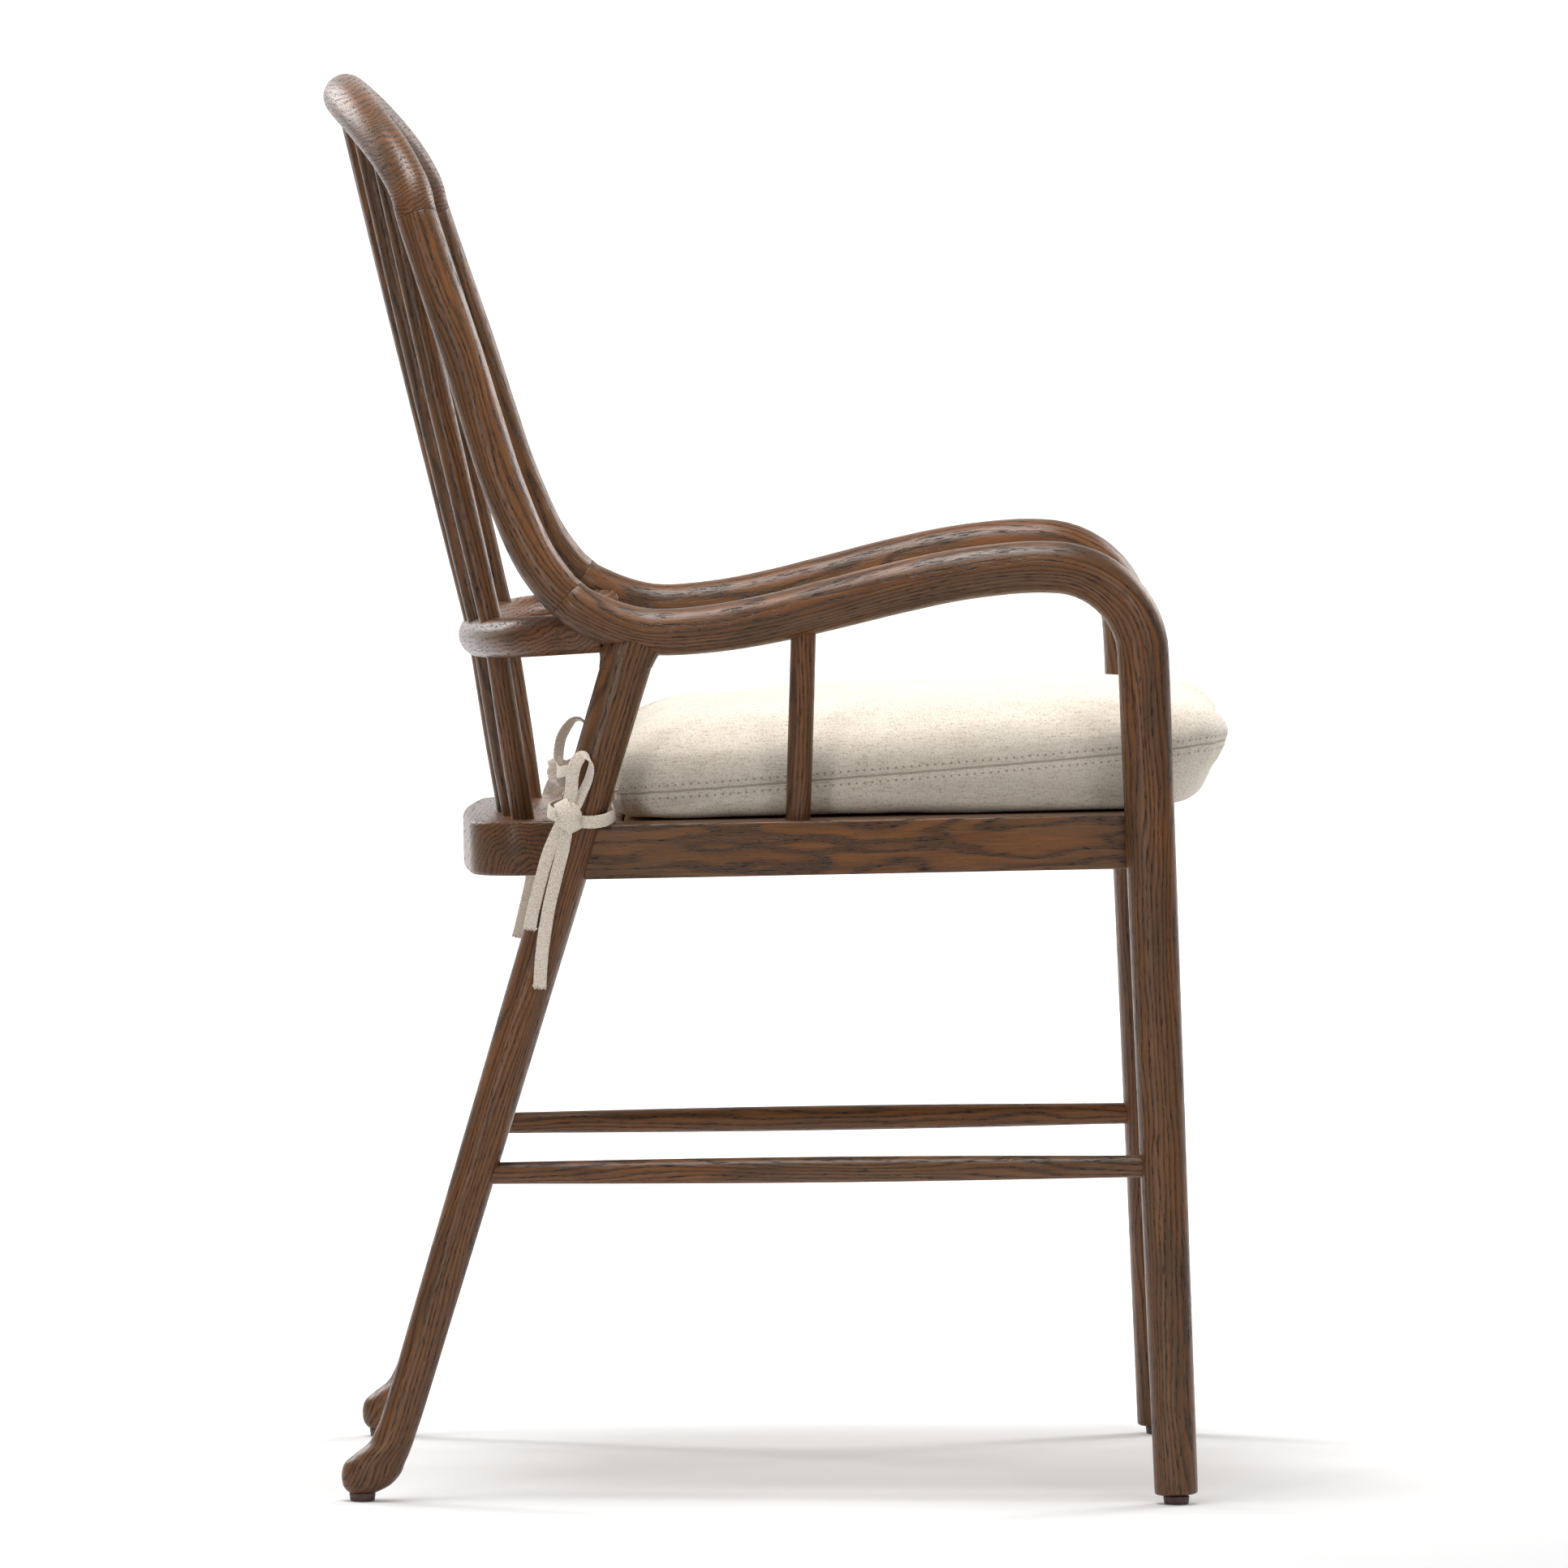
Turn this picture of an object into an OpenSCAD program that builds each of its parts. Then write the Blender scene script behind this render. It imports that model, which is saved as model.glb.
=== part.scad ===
// Bent-wood armchair with a spindle back, a tied cushion and nylon glides.
// The chair faces -Y, +Z is up, and +X is the sitter's left.
// The origin is on the floor, under the middle of the chair.

/* [Overall size] */
// Height of the crest rail's top above the floor
overall_h = 938; // [860:1:1130]
// Height of the sitting frame's top, measured at the front legs
seat_h = 453; // [400:1:545]
// Distance between the rear legs, centre to centre
leg_span = 486; // [405:1:590]
// Distance from the front legs back to the rear legs, at arm height
arm_run = 336; // [300:1:405]
// Height of the arms' centre line above the sitting frame, at the front
arm_rise = 162; // [145:1:195]

/* [Back] */
// Distance between the two ends of the crest rail
crest_w = 362; // [300:1:435]
// Rise of the crest rail's arch between its ends and its middle
crest_arch = 79; // [60:1:95]
// Distance that the crest rail's middle sits behind its ends
crest_sweep = 52; // [40:1:64]
// Distance that the crest rail's middle sits behind the rear legs' tops
back_rake = 194; // [160:1:230]
// Radius of the crest rail at its middle
crest_r = 15; // [12.5:0.5:18]
// Radius of the lumbar rail
lumbar_r = 13.4; // [11.5:0.1:16]
// Spacing of the spindles where they stand on the lumbar rail
spindle_step = 55; // [46:1:66]
// Spacing of the long spindles where they enter the crest rail
crest_step = 42; // [35:1:50]
// Radius of a spindle at its ends
spindle_r = 7.5; // [6:0.1:9]
// Extra radius of a spindle at its middle
spindle_swell = 0.8; // [0:0.1:1.5]

/* [Legs and arms] */
// Radius of the back posts at the crest rail
post_r = 13.6; // [12:0.1:16]
// Radius of the arms at the rear legs
arm_rear_r = 15.3; // [13.5:0.1:18]
// Radius of the arms at the front bend
arm_r = 17; // [15:0.1:20]
// Radius of the bend where each arm turns down into its front leg
bend_r = 60; // [50:1:72]
// Radius of the front legs at the floor
front_foot_r = 14.3; // [12:0.1:17]
// Half thickness of the rear legs at the arms, front to back
rear_leg_r = 17.2; // [15.5:0.1:19]
// Half thickness of the rear legs above their feet, front to back
rear_ankle_r = 13.3; // [11:0.1:15.5]
// Backward lean of the rear legs, as a slope
rear_lean = 0.299; // [0.2:0.001:0.36]
// Height of the side stretchers at the front legs
stretcher_h = 222; // [180:1:270]
// Radius of a stretcher at its ends
stretcher_r = 7.2; // [6:0.1:8.8]
// Radius of the arm supports at the sitting frame
stump_r = 8; // [6.5:0.1:10]

/* [Sitting frame] */
// Thickness of the frame's rails, top to bottom
rail_h = 36; // [30:0.5:44]
// Width of the side rails
side_rail_w = 46; // [40:1:56]
// Thickness of the front rail, front to back
front_rail_w = 26; // [21:1:31]
// Width of the rear board that carries the spindles, side to side
rear_board_w = 376; // [350:1:400]
// Depth of that board, front to back
rear_board_d = 83; // [76:1:96]
// Thickness of the plywood panel
panel_t = 12; // [9:1:15]
// Downward slope of the frame to the rear, in degrees
seat_tilt = 1.15; // [0:0.05:3]

/* [Cushion] */
// Thickness of the cushion at its middle
cushion_t = 78; // [60:1:90]
// Overhang of the cushion in front of the front legs' centres
cushion_nose = 67; // [52:1:80]
// Thickness of the cushion's cover
cover_t = 1.6; // [1:0.1:3]

/* [Joints and fittings] */
// Depth of a spindle's socket in a round rail
socket_depth = 9; // [7:0.5:10.5]
// Clearance of wood in its socket, on each side
fit = 0.1; // [0.05:0.01:0.2]
// Diameter of the dowels at the ends of the back posts
dowel_d = 8; // [6:0.5:10]
// Length of those dowels
dowel_l = 40; // [30:1:50]
// Diameter of a glide
glide_d = 17.5; // [14:0.5:22]
// Thickness of a glide
glide_h = 5.5; // [4:0.5:8]
// Diameter of a wood screw's shank
screw_d = 4; // [3:0.5:5]
// Diameter of a round strand that stands for the flat cotton tape
tape_d = 3.6; // [3:0.1:4.5]

/* [Hidden] */
SPINDLES = [for (i = [1 : 7]) i];

wood = "#5B4433";
end_wood = "#4A3629";
ply = "#B08D62";
beech = "#C9A878";
linen = "#D6CCBA";
foam = "#E9DFB4";
cotton = "#E5DCCB";
nylon = "#3B2622";
steel = "#8C8F93";

sides = 16;            // facets round a bent member
detail = 3;            // rings for each step between two points of a bent member
arch_power = 1.25;     // how square-shouldered the crest's arch is
front_y = -arm_run / 2 - 71;
rear_y = front_y + arm_run;
knuckle = [leg_span / 2, rear_y, seat_h + 120];
arm_z = seat_h + arm_rise;
arm_out = 9;           // the arms stand this far outside the rear legs at the front
arm_bow = 4;
foot_out = 12;         // the front feet splay by this much sideways
foot_ahead = 22;       // and by this much forwards
foot_gap = 0.6;        // a glide's rim stands off the end grain by this much

// ---------- curves ----------
function lerp(a, b, t) = a + (b - a) * t;
function ease(t) = let (u = max(0, min(1, t))) u * u * (3 - 2 * u);
function unit(v) = v / norm(v);
function place(row) = [row.x, row.y, row.z];

// a smooth curve through the rows, with every column blended alike
function on_curve(rows, t) =
    let (last = len(rows) - 1, i = max(0, min(floor(t), last - 1)), f = t - i)
    let (a = rows[max(i - 1, 0)], b = rows[i], c = rows[i + 1], d = rows[min(i + 2, last)])
    0.5 * (2 * b + (c - a) * f + (2 * a - 5 * b + 4 * c - d) * f * f
        + (3 * b - 3 * c + d - a) * f * f * f);
function heading(rows, t) =
    let (last = len(rows) - 1, e = 0.02)
    unit(place(on_curve(rows, min(last, t + e))) - place(on_curve(rows, max(0, t - e))));

// where a curve reaches a given x, going up, or a given y, going down
function find_x(rows, x, lo, hi, n = 24) =
    let (m = (lo + hi) / 2)
    n == 0 ? m : on_curve(rows, m).x < x ? find_x(rows, x, m, hi, n - 1)
                                         : find_x(rows, x, lo, m, n - 1);
function find_y(rows, y, lo, hi, n = 24) =
    let (m = (lo + hi) / 2)
    n == 0 ? m : on_curve(rows, m).y > y ? find_y(rows, y, m, hi, n - 1)
                                         : find_y(rows, y, lo, m, n - 1);

// closed tube over a list of rings that all have the same number of points
module skin(rings) {
    n = len(rings[0]);
    m = len(rings);
    points = [for (ring = rings) for (p = ring) p];
    walls = [for (j = [0 : m - 2]) for (k = [0 : n - 1])
        let (a = j * n + k, b = j * n + (k + 1) % n)
        each [[a, b + n, b], [a, a + n, b + n]]];
    start = [for (k = [0 : n - 1]) k];
    stop = [for (k = [n - 1 : -1 : 0]) (m - 1) * n + k];
    polyhedron(points, concat([start], walls, [stop]));
}

// round ring square to the curve at t; up is a direction that the curve never takes
function round_ring(rows, t, up, count, grow) =
    let (c = place(on_curve(rows, t)), h = heading(rows, t), r = on_curve(rows, t)[3] + grow)
    let (u = unit(cross(h, up)), v = cross(h, u))
    [for (k = [0 : count - 1]) let (a = 360 * k / count) c + r * (cos(a) * u + sin(a) * v)];

module sweep(rows, t0, t1, up, count = sides, steps = detail, grow = 0) {
    skin([for (i = [0 : round((t1 - t0) * steps)])
        round_ring(rows, t0 + i / steps, up, count, grow)]);
}

module along(a, b) {
    d = b - a;
    translate(a) rotate([0, acos(d.z / norm(d)), atan2(d.y, d.x)]) children();
}

module both_sides() {
    children();
    mirror([1, 0, 0]) children();
}

// ---------- the hoop: crest, post, arm and front leg on one line ----------
crest_z = overall_h - crest_r;
crest_y = rear_y + back_rake;
crest_end = [crest_w / 2, crest_y - crest_sweep, crest_z - crest_arch];
post_foot = knuckle + [-3, 41.5, 20.6];
post_shape = [[0.86, 0.83], [0.70, 0.64], [0.56, 0.46], [0.43, 0.30], [0.25, 0.13], [0.09, 0.035]];
front_x = knuckle.x + arm_out;
bend_foot = [front_x, front_y, arm_z - bend_r];
front_foot = [front_x + foot_out, front_y - foot_ahead, glide_h + foot_gap];
crest_steps = 5;
post_steps = len(post_shape) + 1;

function crest_row(a) = [
    crest_w / 2 * sin(a),
    crest_y - crest_sweep * pow(sin(a), 2),
    crest_end.z + crest_arch * pow(cos(a), arch_power),
    lerp(crest_r, post_r, pow(sin(a), 2))];
function post_row(s) = [
    lerp(post_foot.x, crest_end.x, s[1]),
    lerp(post_foot.y, crest_end.y, s[0]),
    lerp(post_foot.z, crest_end.z, s[1]),
    lerp(arm_rear_r - 1, post_r, s[1])];
function arm_row(g) = [
    lerp(knuckle.x, front_x, g) + arm_bow * sin(180 * g),
    lerp(rear_y, front_y, g),
    lerp(knuckle.z - 1, arm_z, ease((g - 0.05) / 0.75)),
    lerp(arm_rear_r, arm_r, ease(g / 0.5))];
function bend_row(a) = [
    front_x, front_y + bend_r * (1 - sin(a)), arm_z - bend_r * (1 - cos(a)), arm_r];
function leg_row(f) = concat(lerp(bend_foot, front_foot, f), lerp(arm_r, front_foot_r, f));

half_hoop = concat(
    [for (i = [0 : crest_steps]) crest_row(90 * i / crest_steps)],
    [for (s = post_shape) post_row(s)],
    [concat(post_foot, arm_rear_r - 1)],
    [concat(knuckle + [-1, 33, 14], arm_rear_r - 0.7), concat(knuckle + [0, 9, 3.4], arm_rear_r)],
    [concat(knuckle + [0.6, -17, -1], arm_rear_r)],
    [for (g = [0.16, 0.27, 0.39, 0.51, 0.63, 0.74]) arm_row(g)],
    [for (a = [0 : 18 : 90]) bend_row(a)],
    [for (f = [0.12, 0.4, 0.7, 0.93, 0.986, 0.9965]) leg_row(f)],
    [concat(front_foot, front_foot_r - 1.5)]);
middle = len(half_hoop) - 1;
hoop = concat([for (i = [middle : -1 : 1]) let (r = half_hoop[i]) [-r.x, r.y, r.z, r[3]]], half_hoop);
crest_t = middle + crest_steps;           // where the crest meets a post
knuckle_t = crest_t + post_steps;         // where a post meets an arm
hoop_t = len(hoop) - 1;                   // the end of a front leg
crest_up = [0, 0.83, -0.55];

function crest_at(x) =
    let (p = on_curve(hoop, find_x(hoop, abs(x), middle, crest_t)))
    [sign(x) * p.x, p.y, p.z];
function front_leg_at(z) = lerp(bend_foot, front_foot, (bend_foot.z - z) / (bend_foot.z - front_foot.z));

// ---------- rear legs ----------
leg_top_z = knuckle.z - 7;
ankle_z = 62;
// below the ankle: height, backward kick, half thickness front to back, half width
foot_rows = [
    [46, 1, 13.8, 13.2], [38, 2.2, 14.8, 13.3], [31, 5.8, 17.8, 13.6], [25, 8.6, 19.8, 13.8],
    [18, 9, 19.4, 13.6], [11, 9.6, 16, 12.4], [7.4, 10.6, 11.8, 10.6], [5.6, 11, 8.6, 8.6]];
function rear_leg_at(z) = [leg_span / 2, rear_y + (knuckle.z - 12 - z) * rear_lean, z];
function rear_leg_row(z) =
    let (f = (leg_top_z - z) / (leg_top_z - ankle_z), r = lerp(rear_leg_r, rear_ankle_r, f))
    [z, 0, r, r * lerp(0.84, 0.96, ease(3 * f))];
rear_leg_rows = concat([for (f = [0, 0.33, 0.66, 0.9, 1]) rear_leg_row(lerp(leg_top_z, ankle_z, f))], foot_rows);
function rear_leg_ring(row) =
    let (c = rear_leg_at(row[0]))
    [for (k = [0 : sides - 1]) let (a = 360 * k / sides)
        c + [row[3] * sin(a), row[1] + row[2] * cos(a), 0]];

module rear_leg_blank() {
    steps = 2;
    skin([for (i = [0 : (len(rear_leg_rows) - 1) * steps]) rear_leg_ring(on_curve(rear_leg_rows, i / steps))]);
}
// the housing that a leg needs in a piece that spans these two heights
module rear_leg_hole(low, high) {
    row = rear_leg_row(high);
    half_y = row[2] * cos(atan(rear_lean)) + fit;
    half_x = row[3] + fit;
    a = rear_leg_at(low);
    b = rear_leg_at(high);
    // the extra length clears the leg's level top, which is not square to its axis
    past = half_y * rear_lean;
    translate(a) rotate([atan(rear_lean), 0, 0]) linear_extrude(norm(b - a) + past)
        polygon([for (k = [0 : sides - 1]) let (t = 360 * k / sides) [half_x * sin(t), half_y * cos(t)]]);
}

// ---------- lumbar rail ----------
lumbar_z = knuckle.z - 10.5;
lumbar_y = rear_y + 105;
lumbar_half = [
    [0, lumbar_y, lumbar_z], [0.247, lumbar_y - 1.5, lumbar_z + 0.3], [0.473, lumbar_y - 5.5, lumbar_z + 1.2],
    [0.679, lumbar_y - 14, lumbar_z + 2.8], [0.829, lumbar_y - 28, lumbar_z + 4.6],
    [0.9, lumbar_y - 44, lumbar_z + 6], [0.93, lumbar_y - 64, lumbar_z + 7.5], [0.966, lumbar_y - 88, lumbar_z + 9.3]];
lumbar_rows = let (n = len(lumbar_half) - 1, w = leg_span / 2) concat(
    [for (i = [n : -1 : 1]) let (p = lumbar_half[i]) [-w * p.x, p.y, p.z, lumbar_r]],
    [for (p = lumbar_half) [w * p.x, p.y, p.z, lumbar_r]]);
lumbar_mid = len(lumbar_half) - 1;
lumbar_end = len(lumbar_rows) - 1;
function lumbar_at(x) =
    let (p = on_curve(lumbar_rows, find_x(lumbar_rows, abs(x), lumbar_mid, lumbar_end)))
    [sign(x) * p.x, p.y, p.z];

module lumbar_blank() { sweep(lumbar_rows, 0, lumbar_end, [0, 0, 1]); }
// the groove for its straight end in the knuckle of the arm
module lumbar_groove() {
    a = place(lumbar_rows[lumbar_end - 1]);
    b = place(lumbar_rows[lumbar_end]);
    back = 30;
    along(a, b) translate([0, 0, -back]) cylinder(h = norm(b - a) + back + 0.3, r = lumbar_r + 2 * fit, $fn = 64);
}

// ---------- sitting frame ----------
// children are drawn in the frame's own axes: y runs back from the front legs, z = 0 is the top
module on_frame() {
    translate([0, front_y, seat_h]) rotate([-seat_tilt, 0, 0]) children();
}
function frame_point(p) =
    [p.x, front_y + p.y * cos(seat_tilt) + p.z * sin(seat_tilt),
        seat_h - p.y * sin(seat_tilt) + p.z * cos(seat_tilt)];
frame_x = leg_span / 2 + 8;               // outer faces of the frame
rail_z = seat_h - rail_h / 2;
front_axis = front_leg_at(rail_z);
front_rail_y = front_axis.y - front_y;
front_rail_back = front_rail_y + front_rail_w / 2;
board_y = rear_leg_at(rail_z).y - front_y - 5;
rear_rail_w = 26;
rear_rail_y = board_y - rear_rail_w;
board_x = rear_board_w / 2;
board_back = board_y + rear_board_d;
corner_r = 38;
back_bow = 7;
opening_x = frame_x - side_rail_w;
shoulder = 11;                            // the front rail's shoulders stop this far from a leg's axis
tenon_t = 11;
tenon_past = 7;                           // its tenons go this far past a leg's axis
spindle_foot_y = board_y + 53;            // the lower spindles' middle one stands here
spindle_foot_step = spindle_step - 5;

function rear_edge(n) = concat(
    [for (i = [0 : n]) let (a = 90 * i / n)
        [board_x - corner_r + corner_r * cos(a), board_back - back_bow - corner_r + corner_r * sin(a)]],
    [for (i = [1 : n]) let (f = i / n)
        [(board_x - corner_r) * (1 - f), board_back - back_bow * (1 - f) * (1 - f)]]);
rear_half = rear_edge(8);
rear_outline = concat([[board_x, board_y]], rear_half,
    [for (i = [len(rear_half) - 2 : -1 : 0]) [-rear_half[i].x, rear_half[i].y]], [[-board_x, board_y]]);

// ---------- round turned parts ----------
// a barrel on the line from a to b; it starts and stops short of them by the given amounts
module barrel(a, b, start, stop, r_end, swell, straight) {
    l = norm(b - a) - start - stop;
    steps = 10;
    along(a, b) translate([0, 0, start]) rotate_extrude($fn = 40) polygon(concat(
        [[0, 0], [r_end, 0]],
        [for (i = [0 : steps]) let (f = i / steps)
            [r_end + swell * sin(180 * f), lerp(straight, l - straight, f)]],
        [[r_end, l], [0, l]]));
}

// a blind hole on the same line, from depth to mouth as measured from a
module socket(a, b, depth, mouth, r) {
    along(a, b) translate([0, 0, depth - 0.4]) cylinder(h = mouth - depth + 0.4, r = r + fit, $fn = 40);
}

function spindle_x(i, step) = (i - 4) * step;
function long_low(i) = lumbar_at(spindle_x(i, spindle_step));
function long_high(i) = crest_at(spindle_x(i, crest_step));
function short_low(i) =
    let (x = spindle_x(i, spindle_foot_step)) frame_point([x, spindle_foot_y - x * x / 1750, 0]);
foot_depth = 16;                          // depth of a socket in the flat frame
straight_l = socket_depth + 4;
mouth_over = 8;                           // sockets are cut this far past the surface

module long_spindle(i) {
    color(wood) barrel(long_low(i), long_high(i), lumbar_r - socket_depth, crest_r - socket_depth,
        spindle_r, spindle_swell, straight_l);
}
module short_spindle(i) {
    color(wood) barrel(short_low(i), long_low(i), -foot_depth, lumbar_r - socket_depth,
        spindle_r, spindle_swell / 2, foot_depth + 4);
}

// ---------- arm supports and stretchers ----------
arm_support_y = 222.5;                    // behind the front legs
stump_top = place(on_curve(hoop, find_y(hoop, front_y + arm_support_y, knuckle_t, hoop_t)));
stump_foot = frame_point([frame_x - 18, arm_support_y + 4, 0]);
stump_top_r = stump_r + 0.5;
stump_sink = arm_rear_r - 7;              // how near the support comes to the arm's centre line
stretcher_front = front_leg_at(stretcher_h);
stretcher_rear = rear_leg_at(stretcher_h - 6);
stretcher_sink = 4;                       // how near a stretcher comes to a leg's axis
stretcher_swell = 1.4;

module arm_support() {
    l = norm(stump_top - stump_foot) + foot_depth - stump_sink;
    color(wood) along(stump_foot, stump_top) translate([0, 0, -foot_depth])
        cylinder(h = l, r1 = stump_r, r2 = stump_top_r, $fn = 40);
}
module arm_support_holes() {
    socket(stump_foot, stump_top, -foot_depth, mouth_over, stump_top_r);
    socket(stump_top, stump_foot, stump_sink, arm_r + mouth_over, stump_top_r);
}
module stretcher() {
    color(wood) barrel(stretcher_rear, stretcher_front, stretcher_sink, stretcher_sink,
        stretcher_r, stretcher_swell, 16);
}
module stretcher_holes() {
    socket(stretcher_rear, stretcher_front, stretcher_sink, 22, stretcher_r);
    socket(stretcher_front, stretcher_rear, stretcher_sink, 22, stretcher_r);
}

// ---------- dowels ----------
crest_tip = place(on_curve(hoop, crest_t));
crest_dir = heading(hoop, crest_t);
knuckle_tip = place(on_curve(hoop, knuckle_t));
knuckle_dir = heading(hoop, knuckle_t);
dowel_slack = 1;

module dowel(tip, dir, d, l) {
    along(tip - dir * l / 2, tip + dir * l / 2) cylinder(h = l, d = d, $fn = 32);
}
module dowel_hole(tip, dir) {
    dowel(tip, dir, dowel_d + 2 * fit, dowel_l + 2 * dowel_slack);
}

// ---------- the bent members ----------
module crest_rail() {
    color(wood) difference() {
        sweep(hoop, middle - crest_steps, crest_t, crest_up);
        for (i = SPINDLES) socket(long_high(i), long_low(i), crest_r - socket_depth, crest_r + mouth_over, spindle_r);
        both_sides() dowel_hole(crest_tip, crest_dir);
    }
}
module back_post() {
    color(wood) difference() {
        sweep(hoop, crest_t, knuckle_t, [1, 0, 0]);
        dowel_hole(crest_tip, crest_dir);
        dowel_hole(knuckle_tip, knuckle_dir);
        lumbar_groove();
    }
}
module arm_and_front_leg() {
    color(wood) difference() {
        sweep(hoop, knuckle_t, hoop_t, [1, 0, 0]);
        dowel_hole(knuckle_tip, knuckle_dir);
        lumbar_groove();
        rear_leg_hole(leg_top_z - 40, leg_top_z + 0.3);
        arm_support_holes();
        stretcher_holes();
        front_rail_blank(fit);
        side_rail_blank(fit);
        nail_hole(front_foot);
    }
}
module rear_leg() {
    color(wood) difference() {
        rear_leg_blank();
        stretcher_holes();
        nail_hole(rear_glide);
    }
}
module lumbar_rail() {
    color(wood) difference() {
        lumbar_blank();
        for (i = SPINDLES) {
            socket(long_low(i), long_high(i), lumbar_r - socket_depth, lumbar_r + mouth_over, spindle_r);
            socket(long_low(i), short_low(i), lumbar_r - socket_depth, lumbar_r + mouth_over, spindle_r);
        }
        both_sides() dowel_hole(knuckle_tip, knuckle_dir);
    }
}

// ---------- frame members ----------
module side_rail_blank(grow = 0) {
    on_frame() translate([opening_x - grow, front_rail_back - grow, -rail_h - grow])
        cube([side_rail_w + 2 * grow, board_y - front_rail_back + 2 * grow, rail_h + 2 * grow]);
}
module front_rail_blank(grow = 0) {
    reach = front_axis.x - shoulder;
    tip = front_axis.x + tenon_past;
    on_frame() {
        translate([-reach - grow, front_rail_y - front_rail_w / 2 - grow, -rail_h - grow])
            cube([2 * (reach + grow), front_rail_w + 2 * grow, rail_h + 2 * grow]);
        translate([-tip - 3 * grow, front_rail_y - tenon_t / 2 - grow, 1 - rail_h - grow])
            cube([2 * (tip + 3 * grow), tenon_t + 2 * grow, rail_h - 2 + 2 * grow]);
    }
}
module side_rail() {
    color(wood) difference() {
        side_rail_blank();
        rear_leg_hole(seat_h - 60, seat_h + 5);
        arm_support_holes();
        both_sides() side_screws(screw_d / 2 + fit, screw_d + fit);
    }
}
module front_rail() {
    color(wood) difference() {
        front_rail_blank();
        both_sides() front_screws(screw_d / 2 + fit, screw_d + fit);
    }
}
module rear_board() {
    color(end_wood) difference() {
        on_frame() translate([0, 0, -rail_h]) linear_extrude(rail_h) polygon(rear_outline);
        both_sides() board_dowels(dowel_d / 2 + fit, dowel_l + 2 * dowel_slack);
        both_sides() rear_leg_hole(seat_h - 60, seat_h + 5);
        for (i = SPINDLES) socket(short_low(i), long_low(i), -foot_depth, mouth_over, spindle_r);
    }
}

module rear_rail() {
    color(wood) difference() {
        on_frame() translate([-opening_x, rear_rail_y, -rail_h]) cube([2 * opening_x, rear_rail_w, rail_h]);
        both_sides() board_dowels(dowel_d / 2 + fit, dowel_l + 2 * dowel_slack);
    }
}
module board_dowels(r, l) {
    on_frame() for (x = [50, 150])
        translate([x, board_y - l / 2, -rail_h / 2]) rotate([-90, 0, 0]) cylinder(h = l, r = r, $fn = 32);
}

// ---------- panel, cleats, corner blocks and their screws ----------
panel_clear = 1;
panel_drop = 1;
cleat_w = 16;
cleat_z = -panel_drop - panel_t;
cleat_start = front_rail_back + 60;
cleat_l = rear_rail_y - cleat_start - 20;
block_leg = 52;
block_h = 20;
side_screw_at = [0.12, 0.5, 0.88];
screw_l = 32;
screw_bite = 17;                          // thread that goes past the piece it holds

module screw(r, head_r, l) {
    cylinder(h = l, r = r, $fn = 24);
    cylinder(h = 2.6, r1 = head_r, r2 = r, $fn = 24);
}
module side_screws(r, head_r) {
    on_frame() for (f = side_screw_at)
        translate([opening_x - cleat_w, cleat_start + f * cleat_l, cleat_z - cleat_w / 2])
            rotate([0, 90, 0]) screw(r, head_r, screw_l);
    on_frame() translate([opening_x - block_leg * 0.32, front_rail_back + block_leg * 0.62, cleat_z - block_h / 2])
        rotate([0, 90, 0]) screw(r, head_r, block_leg * 0.32 + screw_bite);
}
module front_screws(r, head_r) {
    on_frame() translate([opening_x - block_leg * 0.62, front_rail_back + block_leg * 0.32, cleat_z - block_h / 2])
        rotate([90, 0, 0]) screw(r, head_r, block_leg * 0.32 + screw_bite);
}
module panel_screws(r, head_r) {
    on_frame() for (f = [0.25, 0.75])
        translate([opening_x - cleat_w / 2, cleat_start + f * cleat_l, -panel_drop])
            rotate([180, 0, 0]) screw(r, head_r, panel_t + cleat_w - 4);
}
module seat_panel() {
    color(ply) difference() {
        on_frame() translate([panel_clear - opening_x, front_rail_back + panel_clear, cleat_z])
            cube([2 * (opening_x - panel_clear), rear_rail_y - front_rail_back - 2 * panel_clear, panel_t]);
        both_sides() panel_screws(screw_d / 2 + fit, screw_d + fit);
    }
}
module panel_cleat() {
    color(beech) difference() {
        on_frame() translate([opening_x - cleat_w, cleat_start, cleat_z - cleat_w])
            cube([cleat_w, cleat_l, cleat_w]);
        side_screws(screw_d / 2 + fit, screw_d + fit);
        panel_screws(screw_d / 2 + fit, screw_d + fit);
    }
}
module corner_block() {
    color(beech) difference() {
        on_frame() translate([opening_x, front_rail_back, cleat_z - block_h]) linear_extrude(block_h)
            polygon([[0, 0], [-block_leg, 0], [-block_leg, 10], [-10, block_leg], [0, block_leg]]);
        side_screws(screw_d / 2 + fit, screw_d + fit);
        front_screws(screw_d / 2 + fit, screw_d + fit);
    }
}
module frame_screws() {
    color(steel) both_sides() {
        side_screws(screw_d / 2, screw_d);
        front_screws(screw_d / 2, screw_d);
        panel_screws(screw_d / 2, screw_d);
    }
}

// ---------- cushion ----------
cushion_front_x = leg_span / 2 - 17;
cushion_rear_x = cushion_front_x - 6;
cushion_back = board_y - 18;
function rounded(x, y, r, a0) =
    [for (a = [0 : 15 : 90]) [x + r * cos(a0 + a), y + r * sin(a0 + a)]];
function cushion_outline(inset) =
    let (f = 48 - inset / 4, b = 34 - inset / 4)
    let (fx = cushion_front_x - inset, bx = cushion_rear_x - inset)
    let (y0 = inset - cushion_nose, y1 = cushion_back - inset)
    concat(rounded(bx - b, y1 - b, b, 0), rounded(b - bx, y1 - b, b, 90),
        rounded(f - fx, y0 + f, f, 180), rounded(fx - f, y0 + f, f, 270));
// height and inset of each level of the cushion
cushion_levels = [[0.4, 20], [9, 7], [cushion_t * 0.42, 0], [cushion_t * 0.74, 10], [cushion_t, 46]];
leaf = 0.01;

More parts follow.
